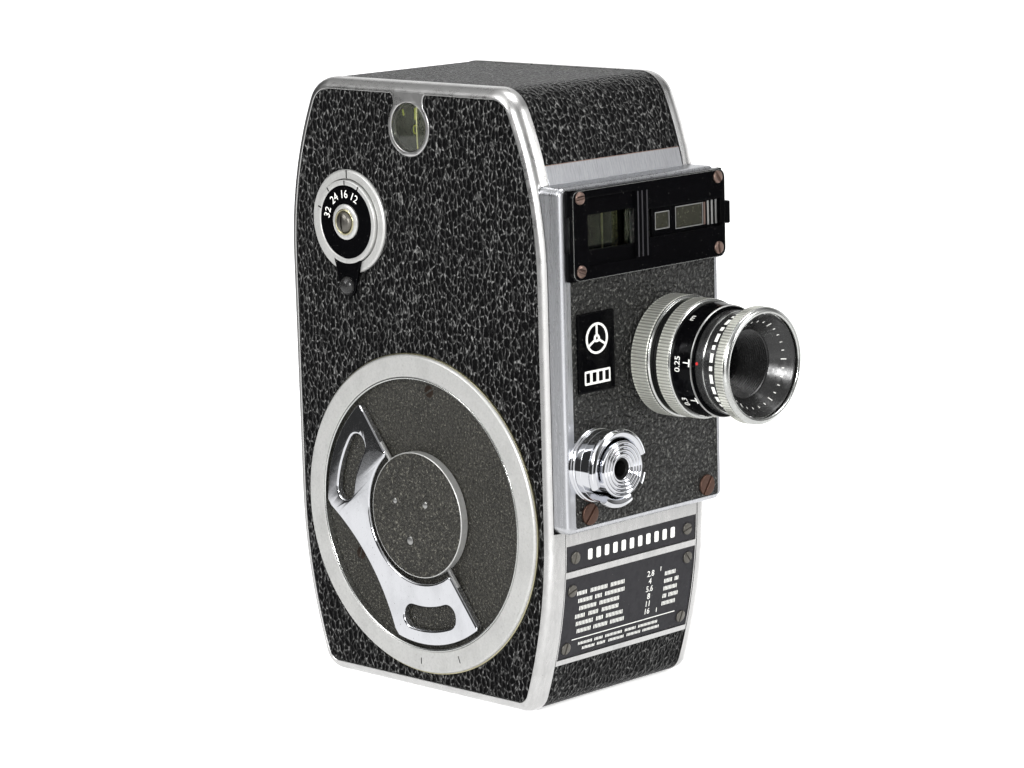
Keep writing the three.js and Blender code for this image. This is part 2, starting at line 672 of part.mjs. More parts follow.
// Flat spiral spring, drawn as one strip.
function mainspring() {
  const turns = 3;
  const steps = 33;
  const inner = 6;
  const outer = 22.3;
  const thickness = 0.5;
  const inside = [];
  const outside = [];
  for (let i = 0; i <= steps; i++) {
    const share = i / steps;
    const angle = 2 * Math.PI * turns * share;
    const radius = inner + (outer - inner) * share;
    for (const [side, r] of [[inside, radius], [outside, radius + thickness]]) {
      side.push(new THREE.Vector2(ARBOR_A.y + r * Math.cos(angle), ARBOR_A.z + r * Math.sin(angle)));
    }
  }
  return alongX([...outside, ...inside.reverse()], -18.3, -9.2);
}

// Arbor wound by the key, with its ratchet wheel.
function windingArbor() {
  const { y, z } = ARBOR_A;
  const teeth = 16;
  const points = [];
  for (let i = 0; i < teeth; i++) {
    const angle = (2 * Math.PI * i) / teeth;
    points.push(new THREE.Vector2(y + 9 * Math.cos(angle), z + 9 * Math.sin(angle)));
    points.push(new THREE.Vector2(y + 7.4 * Math.cos(angle + 0.03), z + 7.4 * Math.sin(angle + 0.03)));
  }
  return turnedX(
    [[0, -20.7], [4, -20.7], [4, -8], [5.5, -8], [5.5, -4], [4, -4], [4, 1.2], [0, 1.2]], y, z, 16)
    .add(alongX(points, -7.4, -6.2));
}

const PAWL = { y: WELL.y - 13.6, z: WELL.z + 4 };

function ratchetPawl() {
  const tip = { y: WELL.y - 9.35, z: WELL.z - 1.4 };
  const arm = alongX([
    new THREE.Vector2(PAWL.y - 1.4, PAWL.z + 0.6),
    new THREE.Vector2(tip.y - 1.4, tip.z + 0.2),
    new THREE.Vector2(tip.y, tip.z),
    new THREE.Vector2(tip.y - 0.2, tip.z + 1.8),
    new THREE.Vector2(PAWL.y + 1.6, PAWL.z + 1.2),
  ], -7.3, -6.3);
  return rodX(2, -7.3, -6.3, PAWL.y, PAWL.z)
    .add(arm)
    .add(rodX(0.9, -7.3, -1.7, PAWL.y, PAWL.z, 12));
}

function intermediateGear() {
  const { y, z } = ARBOR_B;
  const pinionPhase = bearing(ARBOR_B, ARBOR_A) + HALF_SMALL_PITCH;
  const wheelPhase = bearing(ARBOR_B, ARBOR_C);
  return rodX(1, -21, 0.3, y, z)
    .add(alongX(gearPoints(y, z, TEETH.small, BARREL_MODULE, pinionPhase), -20, -17.4))
    .add(alongX(gearPoints(y, z, TEETH.large, TRAIN_MODULE, wheelPhase), -6.6, -5.4));
}

// Governor arbor: pinion, crown wheel for the shutter shaft, and the brake weights.
function governorArbor() {
  const { y, z } = ARBOR_C;
  const pinionPhase = bearing(ARBOR_C, ARBOR_B) + HALF_SMALL_PITCH;
  const crownBack = SHUTTER_X - (TEETH.small * TRAIN_MODULE) / 2 - 2.6;
  let crown = turnedX(
    [[0.5, crownBack], [CROWN_R + 1, crownBack], [CROWN_R + 1, crownBack + 1.7], [0.5, crownBack + 1.7]],
    y, z, 16);
  const tooth = box(crownBack + 1.5, crownBack + 2.5, CROWN_R - 0.9, CROWN_R + 0.9, -0.3, 0.3);
  for (let i = 0; i < TEETH.crown; i++) {
    const degrees = (360 * i) / TEETH.crown;
    crown = crown.add(tooth.rotate([degrees, 0, 0]).translate([0, y, z]));
  }
  const weights = turnedX(
    [[0.5, -20], [4.6, -20], [4.6, -17.6], [2.2, -16.4], [2.2, -13], [0.5, -13]], y, z, 12);
  return rodX(1, -21, 0.3, y, z)
    .add(alongX(gearPoints(y, z, TEETH.small, TRAIN_MODULE, pinionPhase), -6.7, -5.3))
    .add(crown)
    .add(weights);
}

function shutterShaft() {
  const axisZ = ARBOR_C.z;
  const points = gearPoints(SHUTTER_X, axisZ, TEETH.small, TRAIN_MODULE, Math.PI + HALF_SMALL_PITCH);
  return rodForwards(0.9, 13.6, 33.6, SHUTTER_X, axisZ)
    .add(forwards(points, -ARBOR_C.y + CROWN_R - 1, -ARBOR_C.y + CROWN_R + 1));
}

// Rotating shutter with an open sector.
function shutterDisc() {
  const open = THREE.MathUtils.degToRad(170);
  const centre = [SHUTTER_X, ARBOR_C.z];
  const closed = arc(...centre, 16, Math.PI - open / 2, Math.PI + open / 2, 20);
  return forwards([new THREE.Vector2(...centre), ...closed], 32.6, 33.1)
    .add(rodForwards(3, 32.4, 33.2, ...centre))
    .subtract(rodForwards(1, 30, 35, ...centre));
}

// Plate and posts that carry the outer ends of the arbors.
function mechanismBridge() {
  const posts = [[20, 63], [-14, 82], [12, 86.5]];
  const plate = alongX([
    new THREE.Vector2(-17, 64),
    new THREE.Vector2(-3, 64),
    new THREE.Vector2(4, 60.5),
    new THREE.Vector2(22.5, 60.5),
    new THREE.Vector2(22.5, 66),
    new THREE.Vector2(15, 89),
    new THREE.Vector2(-17, 89),
  ], -21.3, -20.5);
  let bridge = plate
    .subtract(rodX(1.15, -23, -19, ARBOR_B.y, ARBOR_B.z))
    .subtract(rodX(1.15, -23, -19, ARBOR_C.y, ARBOR_C.z));
  for (const [y, z] of posts) bridge = bridge.add(rodX(1.5, -21, PARTITION.from - GAP, y, z, 12));
  return bridge;
}

// ---------------------------------------------------------------- film side
function spool(z) {
  const { r, core, from, to, y } = SPOOL;
  const bore = 2.4;
  const wall = 0.8;
  const lower = [[bore, from], [r, from], [r, from + wall], [core, from + wall]];
  const upper = [[core, to - wall], [r, to - wall], [r, to], [bore, to]];
  return turnedX([...lower, ...upper], y, z);
}

function takeupSpindle() {
  return turnedX(
    [[0, -3.4], [4, -3.4], [4, -1.8], [2, -1.8], [2, 0.7], [4.5, 0.7], [4.5, 2], [2, 2], [2, 20], [0, 20.4]],
    SPOOL.y, SPOOL.lowZ, 16);
}

function filmGate() {
  const plate = box(0.65, 18.5, -30.4, -29, 58, 82);
  const aperture = box(LENS.x - 2.4, LENS.x + 2.4, -32, -28, LENS.z - 1.8, LENS.z + 1.8);
  const clawSlot = box(3, 4.8, -32, -28, 64, 70.4);
  return plate.subtract(aperture).subtract(clawSlot);
}

function pressurePlate() {
  return box(5.2, 14, -28.4, -27.4, 60, 80).add(box(8, 11, -27.5, -24.6, 68, 72));
}

function pulldownClaw() {
  return box(3.4, 4.4, -32.1, -31, 58, 72).add(box(3.4, 4.4, -31.2, -28.7, 68.8, 69.8));
}

// ---------------------------------------------------------------- release
function releaseBase() {
  return turnedForwards(
    [[5.9, 40.3], [7.5, 40.3], [7.5, 41], [7.1, 41.6], [5.9, 41.6]], RELEASE.x, RELEASE.z);
}

// Lock collar: a ring with three claws that grip the button.
function releaseCollar() {
  const { x, z } = RELEASE;
  let collar = turnedForwards(
    [[5.9, 41.75], [7.2, 41.75], [7.2, 44.5], [7.9, 46.3], [7.4, 47.2], [6.5, 47.2], [5.9, 46.6]], x, z);
  for (const middle of [0, 220, 312]) {
    const half = 14;
    const from = THREE.MathUtils.degToRad(middle - half);
    const to = THREE.MathUtils.degToRad(middle + half);
    const gap = [new THREE.Vector2(x, z), ...arc(x, z, 10, from, to, 3)];
    collar = collar.subtract(forwards(gap, 43, 50));
  }
  return collar;
}

// Button with a stem through the block and a central socket for a cable release.
function releaseButton() {
  return turnedForwards(
    [[0, 33], [2.4, 33], [2.4, 42.2], [5.6, 42.2], [5.6, 47.6], [5.2, 48], [1.9, 48], [1.9, 43.5], [0, 43.5]],
    RELEASE.x, RELEASE.z, 20);
}

// Return spring around the stem, as a helix of round wire.
class Helix extends THREE.Curve {
  constructor(radius, from, to, turns) {
    super();
    Object.assign(this, { radius, from, to, turns });
  }
  getPoint(t, target = new THREE.Vector3()) {
    const angle = 2 * Math.PI * this.turns * t;
    const forward = this.from + (this.to - this.from) * t;
    return target.set(this.radius * Math.cos(angle), -forward, this.radius * Math.sin(angle));
  }
}

function releaseSpring() {
  const path = new Helix(3.1, 34.4, 39.6, 4);
  const options = { steps: 40, bevelEnabled: false, extrudePath: path };
  const wire = new THREE.Shape(circle(0, 0, 0.3, 5));
  return solid(new THREE.ExtrudeGeometry(wire, options).translate(RELEASE.x, 0, RELEASE.z));
}

// ---------------------------------------------------------------- lens
function lensPiece(profile, steps = 24) {
  return turnedForwards(profile, LENS.x, LENS.z, steps);
}

function lensMountRing() {
  return lensPiece([[8.3, 36.4], [11, 36.4], [11, 40.5], [8.3, 40.5]]);
}

function lensBarrel() {
  return lensPiece([
    [6, 35.4], [7.9, 35.4], [7.9, 40.6], [9, 40.6], [9, 45.8], [11.2, 45.8], [11.2, 47], [9, 47],
    [9, 55], [7.9, 55], [7.9, 42], [6, 42],
  ]);
}

function lensGripRing() {
  return lensPiece([[9.15, 40.7], [12, 40.7], [12.3, 41], [12.3, 45.3], [12, 45.7], [9.15, 45.7]]);
}

function focusRing() {
  return lensPiece([
    [9.15, 47.1], [11.75, 47.1], [12.05, 47.4], [12.05, 50.4], [11.75, 50.8], [11.5, 50.9], [11.2, 55.6],
    [10.9, 55.9], [9.15, 55.9],
  ]);
}

function lensCell() {
  return lensPiece([
    [4.7, 47.5], [7.75, 47.5], [7.75, 56.05], [10.3, 56.05], [10.4, 57.9], [10.15, 58.2], [10.15, 64.6],
    [9.95, 64.6], [6.9, 60.6], [4.9, 54.2], [4.7, 54],
  ]);
}

function apertureRing() {
  return lensPiece([
    [10.3, 62], [11.4, 62], [11.65, 62.25], [11.65, 64.5], [11.2, 65.1], [10.7, 65.2], [10.3, 65],
  ]);
}

function frontElement() {
  return lensPiece([[0, 53.2], [2.4, 52.9], [4.6, 52], [4.6, 50.4], [0, 49.6]], 16);
}

function rearElement() {
  return lensPiece([[0, 41.6], [5.8, 41], [5.8, 39.4], [0, 38.8]], 16);
}

function irisDiaphragm() {
  return lensPiece([[2.2, 44], [7.7, 44], [7.7, 44.5], [2.2, 44.5]], 16);
}

// ---------------------------------------------------------------- assembly
const housing = new THREE.Group();
housing.add(
  mesh("main_casting", mainCasting(), ALUMINIUM),
  mesh("motor_cover", motorCover(), ALUMINIUM),
  mesh("motor_cover_leather", motorCoverLeather(), LEATHERETTE),
  mesh("band_leather", bandLeather(), LEATHERETTE),
  mesh("tripod_plate", tripodPlate(), STEEL),
  mesh("lens_block", lensBlock(), ALUMINIUM),
  mesh("front_fascia", frontFascia(), CRACKLE),
  mesh("badge_plaque", badgePlaque(), GLOSS_BLACK),
  mesh("name_plate", frontPlate(NAME_PLATE), BLACK_METAL),
  mesh("exposure_plate", frontPlate(EXPOSURE_PLATE), BLACK_METAL),
  mesh("fascia_screw_left", slottedScrew(-15.9, 41.3, 2.2, BLOCK.front, -0.8), COPPER),
  mesh("fascia_screw_right", slottedScrew(18.8, 41.3, 2.2, BLOCK.front, -1), COPPER),
  mesh("winding_ring", windingRing(), ALUMINIUM),
  mesh("well_plate", wellPlate(), CRACKLE),
  mesh("speed_ring", speedRing(), ALUMINIUM),
  mesh("counter_glass", counterGlass(), GLASS),
  mesh("counter_index", counterIndex(), BRASS),
  mesh("mechanism_bridge", mechanismBridge(), BRASS),
  mesh("film_gate", filmGate(), STEEL),
  mesh("release_base", releaseBase(), CHROME),
);

const viewfinder = new THREE.Group();
viewfinder.add(
  mesh("finder_plate", finderPlate(), GLOSS_BLACK),
  mesh("finder_mask_slide", finderMask(), BLACK_METAL),
  mesh("finder_front_lens", finderFrontLens(), GLASS),
  mesh("finder_tube", finderTube(), BLACK_METAL),
  mesh("finder_eyepiece", finderEyepiece(), CHROME),
  mesh("finder_eye_lens", finderEyeLens(), GLASS),
);

const door = new THREE.Group();
door.add(
  mesh("film_door", filmDoor(), ALUMINIUM),
  mesh("film_door_leather", filmDoorLeather(), LEATHERETTE),
  mesh("door_latch", doorLatch(), CHROME),
);

const controls = new THREE.Group();
controls.add(
  mesh("speed_dial", speedDial(), GLOSS_BLACK),
  mesh("speed_dial_screw", speedDialScrew(), BRASS),
  mesh("counter_dial", counterDial(), NICKEL),
  mesh("release_collar", releaseCollar(), CHROME),
  mesh("release_button", releaseButton(), CHROME),
  mesh("release_spring", releaseSpring(), STEEL),
);

const motor = new THREE.Group();
motor.add(
  mesh("key_hub", keyHub(), CRACKLE),
  mesh("key_pin", keyPin(), STEEL),
  mesh("key_handle", keyHandle(), CHROME),
  mesh("winding_arbor", windingArbor(), STEEL),
  mesh("ratchet_pawl", ratchetPawl(), STEEL),
  mesh("spring_barrel", springBarrel(), BRASS),
  mesh("mainspring", mainspring(), STEEL),
  mesh("intermediate_gear", intermediateGear(), BRASS),
  mesh("governor_arbor", governorArbor(), BRASS),
  mesh("shutter_shaft", shutterShaft(), STEEL),
  mesh("shutter_disc", shutterDisc(), BLACK_METAL),
);

const lens = new THREE.Group();
lens.add(
  mesh("lens_mount_ring", lensMountRing(), STEEL),
  mesh("lens_barrel", lensBarrel(), BLACK_METAL),
  mesh("lens_grip_ring", lensGripRing(), NICKEL),
  mesh("focus_ring", focusRing(), NICKEL),
  mesh("lens_cell", lensCell(), BLACK_METAL),
  mesh("aperture_ring", apertureRing(), NICKEL),
  mesh("front_element", frontElement(), GLASS),
  mesh("rear_element", rearElement(), GLASS),
  mesh("iris_diaphragm", irisDiaphragm(), BLACK_METAL),
);

const filmPath = new THREE.Group();
filmPath.add(
  mesh("feed_spool", spool(SPOOL.highZ), BLACK_METAL),
  mesh("takeup_spool", spool(SPOOL.lowZ), BLACK_METAL),
  mesh("takeup_spindle", takeupSpindle(), STEEL),
  mesh("pressure_plate", pressurePlate(), STEEL),
  mesh("pulldown_claw", pulldownClaw(), STEEL),
);

const camera = new THREE.Group();
camera.add(housing, viewfinder, door, controls, motor, lens, filmPath);

export default camera;
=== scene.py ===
"""Looks of the cine camera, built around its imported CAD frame.

Lengths are in millimetres until a mesh is made. The lens looks towards -Y, the winding key is on the
-X side, the film door on the +X side, and the origin is the centre of the base.
"""

import math

import bmesh
import bpy
import numpy as np
from mathutils import Matrix, Vector
from mathutils.geometry import tessellate_polygon


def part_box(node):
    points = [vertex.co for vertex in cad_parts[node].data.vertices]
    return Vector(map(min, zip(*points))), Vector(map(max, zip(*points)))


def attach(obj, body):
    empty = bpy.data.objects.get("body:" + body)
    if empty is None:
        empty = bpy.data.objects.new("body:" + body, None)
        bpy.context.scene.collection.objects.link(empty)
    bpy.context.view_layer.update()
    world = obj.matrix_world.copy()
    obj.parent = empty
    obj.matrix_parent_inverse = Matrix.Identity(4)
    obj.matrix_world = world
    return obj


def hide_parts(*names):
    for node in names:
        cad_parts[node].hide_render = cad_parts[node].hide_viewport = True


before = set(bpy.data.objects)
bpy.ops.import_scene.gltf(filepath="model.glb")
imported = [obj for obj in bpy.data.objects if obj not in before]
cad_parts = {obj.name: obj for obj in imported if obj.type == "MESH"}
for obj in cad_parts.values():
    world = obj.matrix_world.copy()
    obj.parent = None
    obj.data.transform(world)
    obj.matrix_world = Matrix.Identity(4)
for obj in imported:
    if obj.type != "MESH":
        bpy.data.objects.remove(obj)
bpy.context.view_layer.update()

MM = 0.001


# ---------------------------------------------------------------- sizes taken from the frame
class Span:
    """A CAD node's box in millimetres: low and high corners, middle and half sizes."""

    def __init__(self, node):
        low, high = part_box(node)
        self.low = np.array(low) / MM
        self.high = np.array(high) / MM
        self.mid = (self.low + self.high) / 2
        self.half = (self.high - self.low) / 2

    def face(self, grow=0.0, corner=0.0, steps=5):
        """The box seen from the lens side as a drawing, grown all round, with round corners."""
        low, high = self.low - grow, self.high + grow
        return rectangle(low[0], high[0], low[2], high[2], corner, steps)


DOOR = Span("film_door")
HALF_WIDTH, HALF_DEPTH, HEIGHT = DOOR.high
SEAM_X = DOOR.low[0]
SHEET = Span("film_door_leather")
BLOCK = Span("lens_block")
FASCIA = Span("front_fascia")
NAME_PLATE = Span("name_plate")
EXPOSURE_PLATE = Span("exposure_plate")
RING = Span("winding_ring")
HUB = Span("key_hub")
WELL_PLATE = Span("well_plate")
SPEED_RING = Span("speed_ring")
COUNTER = Span("counter_glass")
FINDER_PLATE = Span("finder_plate")
FINDER_LENS = Span("finder_front_lens")
MASK = Span("finder_mask_slide")
EYEPIECE = Span("finder_eyepiece")
BADGE = Span("badge_plaque")
RELEASE = Span("release_base")
GRIP = Span("lens_grip_ring")
LATCH = Span("door_latch")
TRIPOD = Span("tripod_plate")

WELL_Y, WELL_Z = RING.mid[1:]
DIAL_Y, DIAL_Z = SPEED_RING.mid[1:]
COUNTER_Y, COUNTER_Z = COUNTER.mid[1:]
LENS_X, LENS_Z = GRIP.mid[0], GRIP.mid[2]
RELEASE_X, RELEASE_Z = RELEASE.mid[0], RELEASE.mid[2]
LATCH_Y, LATCH_Z = LATCH.mid[1:]
EYE_X, EYE_Z = EYEPIECE.mid[0], EYEPIECE.mid[2]

RIM_INSET = 2.1
RIM_DEPTH = 3.0
TOP_CORNER = 7.0
BASE_CORNER = 5.0
HIGH_FLANK_R, HIGH_FLANK_Z = 80.0, 88.0
LOW_FLANK_R, LOW_FLANK_Z = 105.0, 38.0
STRIP_TOP = BLOCK.high[2]
STRIP_HEIGHT = 3.7
FRAME_LOW = 9.8
LENS_HOLE_R = 11.1
LENS_RIBS, STOP_RIBS = 110, 100
STEPS_PER_RIB = 4
RIB_DEPTH = 0.26
RING_BORE = 9.15
KNURL_CREASE = 50
PLATE_INSET = 0.2

# ---------------------------------------------------------------- faces of the body
# Each maps (across, up, out) to the row frame; out is counted from the middle of the body.
LEFT = Matrix(((0, 0, -1, 0), (-1, 0, 0, 0), (0, 1, 0, 0), (0, 0, 0, 1)))
RIGHT = Matrix(((0, 0, 1, 0), (1, 0, 0, 0), (0, 1, 0, 0), (0, 0, 0, 1)))
FRONT = Matrix(((1, 0, 0, 0), (0, 0, -1, 0), (0, 1, 0, 0), (0, 0, 0, 1)))
BACK = Matrix(((-1, 0, 0, 0), (0, 0, 1, 0), (0, 1, 0, 0), (0, 0, 0, 1)))
BASE = Matrix(((1, 0, 0, 0), (0, -1, 0, 0), (0, 0, -1, 0), (0, 0, 0, 1)))


def turn(degrees):
    return Matrix.Rotation(math.radians(degrees), 4, "Z")


def on_left(y, z, degrees=0):
    return LEFT @ Matrix.Translation((-y, z, 0)) @ turn(degrees)


def on_right(y, z, degrees=0):
    return RIGHT @ Matrix.Translation((y, z, 0)) @ turn(degrees)


def on_front(x, z, degrees=0):
    return FRONT @ Matrix.Translation((x, z, 0)) @ turn(degrees)


def on_back(x, z, degrees=0):
    return BACK @ Matrix.Translation((-x, z, 0)) @ turn(degrees)


# ---------------------------------------------------------------- drawings
def arc(cx, cy, radius, start, end, steps):
    """Points on an arc from start to end, in degrees."""
    angles = np.radians(np.linspace(start, end, steps + 1))
    return [(cx + radius * math.cos(a), cy + radius * math.sin(a)) for a in angles]


def circle(cx, cy, radius, steps=48):
    return arc(cx, cy, radius, 0, 360 * (1 - 1 / steps), steps - 1)


def rectangle(left, right, low, high, radius=0.0, steps=5):
    if radius == 0:
        return [(left, low), (right, low), (right, high), (left, high)]
    return (
        arc(left + radius, low + radius, radius, 180, 270, steps)
        + arc(right - radius, low + radius, radius, 270, 360, steps)
        + arc(right - radius, high - radius, radius, 0, 90, steps)
        + arc(left + radius, high - radius, radius, 90, 180, steps)
    )


def soften(points, radius, closed=True, steps=3):
    """The drawing with each corner replaced by a small curve."""
    made = []
    count = len(points)
    for i, point in enumerate(points):
        if not closed and i in (0, count - 1):
            made.append(tuple(point))
            continue
        here = np.array(point, float)
        before = np.array(points[i - 1], float) - here
        after = np.array(points[(i + 1) % count], float) - here
        length_before, length_after = np.linalg.norm(before), np.linalg.norm(after)
        cut = min(radius, 0.45 * length_before, 0.45 * length_after)
        start = here + before / length_before * cut
        end = here + after / length_after * cut
        for t in np.linspace(0, 1, steps + 1):
            made.append(tuple((1 - t) ** 2 * start + 2 * t * (1 - t) * here + t * t * end))
    return made


def grown(loop, distance):
    """A closed drawing moved to the left of its direction by distance."""
    points = np.array(loop, float)
    along = np.roll(points, -1, 0) - points
    along /= np.linalg.norm(along, axis=1)[:, None]
    normal = np.stack([-along[:, 1], along[:, 0]], 1)
    both = normal + np.roll(normal, 1, 0)
    scale = distance / np.maximum(1 + (normal * np.roll(normal, 1, 0)).sum(1), 0.3)
    return [tuple(p) for p in points + both * scale[:, None]]


def area(loop):
    points = np.array(loop, float)
    after = np.roll(points, -1, 0)
    return 0.5 * float((points[:, 0] * after[:, 1] - after[:, 0] * points[:, 1]).sum())


# ---------------------------------------------------------------- forms
class Form:
    """Points, faces and the material number of each face of one piece."""

    def __init__(self, shape=((), ()), place=None):
        self.points = []
        self.faces = []
        self.kinds = []
        self.add(shape, place)

    def add(self, shape, place=None, kind=0):
        """Adds (points, faces), moved by place."""
        points, faces = shape
        base = len(self.points)
        place = place or Matrix.Identity(4)
        self.points += [place @ Vector(p) for p in points]
        self.faces += [[base + i for i in face] for face in faces]
        self.kinds += [kind] * len(faces)
        return self

    def mesh(self, name, materials, crease):
        data = bpy.data.meshes.new(name)
        data.from_pydata([p * MM for p in self.points], [], self.faces)
        for material in materials:
            data.materials.append(material)
        data.polygons.foreach_set("material_index", self.kinds)
        shade(data, crease)
        data.validate()
        return data


def shade(data, crease):
    """Smooth shading that stays sharp where faces meet at more than crease degrees."""
    data.polygons.foreach_set("use_smooth", [True] * len(data.polygons))
    data.set_sharp_from_angle(angle=math.radians(crease))


def linked(name, data):
    """A new object in the scene."""
    obj = bpy.data.objects.new(name, data)
    bpy.context.scene.collection.objects.link(obj)
    return obj


def piece(name, form, materials, stands_for=(), body="camera_body", crease=32, cuts=()):
    """Makes a Form into an object that rides on a body and stands for CAD nodes."""
    materials = materials if isinstance(materials, list) else [materials]
    obj = linked(name, form.mesh(name, materials, crease))
    for taken in cuts:
        cut(obj, taken, crease)
    normals = obj.modifiers.new("flat_faces", "WEIGHTED_NORMAL")
    normals.keep_sharp = True
    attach(obj, body)
    if stands_for:
        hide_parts(*stands_for)
    return obj


def cut(obj, form, crease):
    """Takes a form out of an object's mesh."""
    tool = linked("tool", form.mesh("tool", [], crease))
    modifier = obj.modifiers.new("cut", "BOOLEAN")
    modifier.operation = "DIFFERENCE"
    modifier.solver = "EXACT"
    modifier.object = tool
    bpy.context.view_layer.update()
    evaluated = obj.evaluated_get(bpy.context.evaluated_depsgraph_get())
    data = bpy.data.meshes.new_from_object(evaluated)
    obj.modifiers.clear()
    old = obj.data
    obj.data = data
    bpy.data.meshes.remove(old)
    bpy.data.objects.remove(tool)
    shade(data, crease)


def box(low, high):
    """A plain block between two corners, used to cut others."""
    (x0, y0, z0), (x1, y1, z1) = low, high
    points = [(x, y, z) for z in (z0, z1) for x, y in ((x0, y0), (x1, y0), (x1, y1), (x0, y1))]
    faces = [(3, 2, 1, 0), (4, 5, 6, 7), (0, 1, 5, 4), (1, 2, 6, 5), (2, 3, 7, 6), (3, 0, 4, 7)]
    return points, faces


def turned(profile, steps=96, knurl=None, sweep=(0, 360)):
    """A profile of (radius, height) turned about the out axis.

    A profile that starts and ends on the axis makes a solid, any other closes on itself. knurl is
    (depth, low, high): points between those heights dip by depth between ribs, four steps a rib.
    """
    on_axis = profile[0][0] == 0 and profile[-1][0] == 0
    whole = sweep[1] - sweep[0] >= 360
    profile = np.array(profile, float)
    following = np.roll(profile, -1, 0)
    twice_area = (profile[:, 0] * following[:, 1] - following[:, 0] * profile[:, 1]).sum()
    if twice_area < 0:
        profile = profile[::-1]
    columns = steps if whole else steps + 1
    points, faces = [], []
    rows = len(profile)
    for i in range(columns):
        angle = math.radians(sweep[0] + (sweep[1] - sweep[0]) * i / steps)
        for radius, height in profile:
            if knurl and knurl[1] <= height <= knurl[2] and i % STEPS_PER_RIB > 1:
                radius -= knurl[0]
            points.append((radius * math.cos(angle), radius * math.sin(angle), height))
    pairs = [(j, (j + 1) % rows) for j in range(rows if not on_axis else rows - 1)]
    for i in range(steps):
        a, b = i * rows, ((i + 1) % columns) * rows
        for j, k in pairs:
            face = [a + j, b + j, b + k, a + k]
            if profile[j][0] == 0 and on_axis:
                face = [a + j, b + k, a + k]
            if profile[k][0] == 0 and on_axis:
                face = [a + j, b + j, a + k]
            faces.append(face)
    if on_axis:
        poles = [j for j in range(rows) if profile[j][0] == 0]
        merged = {i * rows + j: j for i in range(columns) for j in poles}
        faces = [[merged.get(v, v) for v in face] for face in faces]
    if not whole:
        faces.append(list(range(rows)))
        faces.append([steps * rows + j for j in reversed(range(rows))])
    used = sorted({v for face in faces for v in face})
    number = {v: n for n, v in enumerate(used)}
    return [points[v] for v in used], [[number[v] for v in face] for face in faces]


def slab(loops, low, high, bevel=0.0, steps=3, back_bevel=0.0):
    """A plate with rounded edges: an outer drawing, and holes, between two heights.

    bevel is one size or one for each loop.
    """
    sizes = bevel if isinstance(bevel, (list, tuple)) else [bevel] * len(loops)
    points, faces, caps = [], [], ([], [])
    for n, (loop, size) in enumerate(zip(loops, sizes)):
        if (area(loop) > 0) != (n == 0):
            loop = loop[::-1]
        levels = [(low, 0.0)]
        if back_bevel:
            levels = [(low, back_bevel), (low + back_bevel, 0.0)]
        if size:
            for t in np.radians(np.linspace(0, 90, steps + 1)):
                levels.append((high - size * (1 - math.sin(t)), size * (1 - math.cos(t))))
        else:
            levels.append((high, 0.0))
        base = len(points)
        count = len(loop)
        for height, inset in levels:
            ring = grown(loop, inset) if inset else loop
            points += [(x, y, height) for x, y in ring]
        for row in range(len(levels) - 1):
            for i in range(count):
                j = (i + 1) % count
                a, b = base + row * count, base + (row + 1) * count
                faces.append([a + i, a + j, b + j, b + i])
        caps[0].append(range(base, base + count))
        last = base + (len(levels) - 1) * count
        caps[1].append(range(last, last + count))
    for cap, upward in zip(caps, (False, True)):
        numbers = [v for ring in cap for v in ring]
        triangles = tessellate_polygon([[Vector(points[v]) for v in ring] for ring in cap])
        for triangle in triangles:
            face = [numbers[v] for v in triangle]
            a, b, c = (np.array(points[v][:2]) for v in face)
            if (np.cross(b - a, c - a) > 0) != upward:
                face.reverse()
            faces.append(face)
    return points, faces


def lettering(text, size, raised=0.04):
    """Points and faces of a short number or unit, centred, in the (across, up) plane."""
    curve = bpy.data.curves.new("lettering", "FONT")
    curve.body = text
    curve.size = size
    curve.extrude = raised / 2
    curve.resolution_u = 4
    curve.align_x = "CENTER"
    curve.align_y = "CENTER"
    obj = linked("lettering", curve)
    bpy.context.view_layer.update()
    data = bpy.data.meshes.new_from_object(obj)
    points = [tuple(v.co + Vector((0, 0, raised / 2))) for v in data.vertices]
    faces = [list(p.vertices) for p in data.polygons]
    bpy.data.objects.remove(obj)
    bpy.data.curves.remove(curve)
    bpy.data.meshes.remove(data)
    return points, faces


def bar(x0, x1, y0, y1, raised=0.04):
    """A printed stroke in the (across, up) plane."""
    return slab([rectangle(x0, x1, y0, y1)], 0, raised)


def moved(shape, mapping):
    """A shape with each of its points passed through a mapping."""
    points, faces = shape
    return [mapping(*p) for p in points], faces


def slotted_head(radius, low, high, bevel, slot=0.5):
    """A round screw head cut across by a slot: a disc under two half moons."""
    floor = low + (high - low) * 0.45
    lean = math.degrees(math.asin(slot / 2 / radius))
    moons = [arc(0, 0, radius, lean + half, 180 - lean + half, 14) for half in (0, 180)]
    form = Form(slab([circle(0, 0, radius * 0.985, 32)], low, floor))
    for moon in moons:
        form.add(slab([moon], low, high, bevel))
    return form.points, form.faces


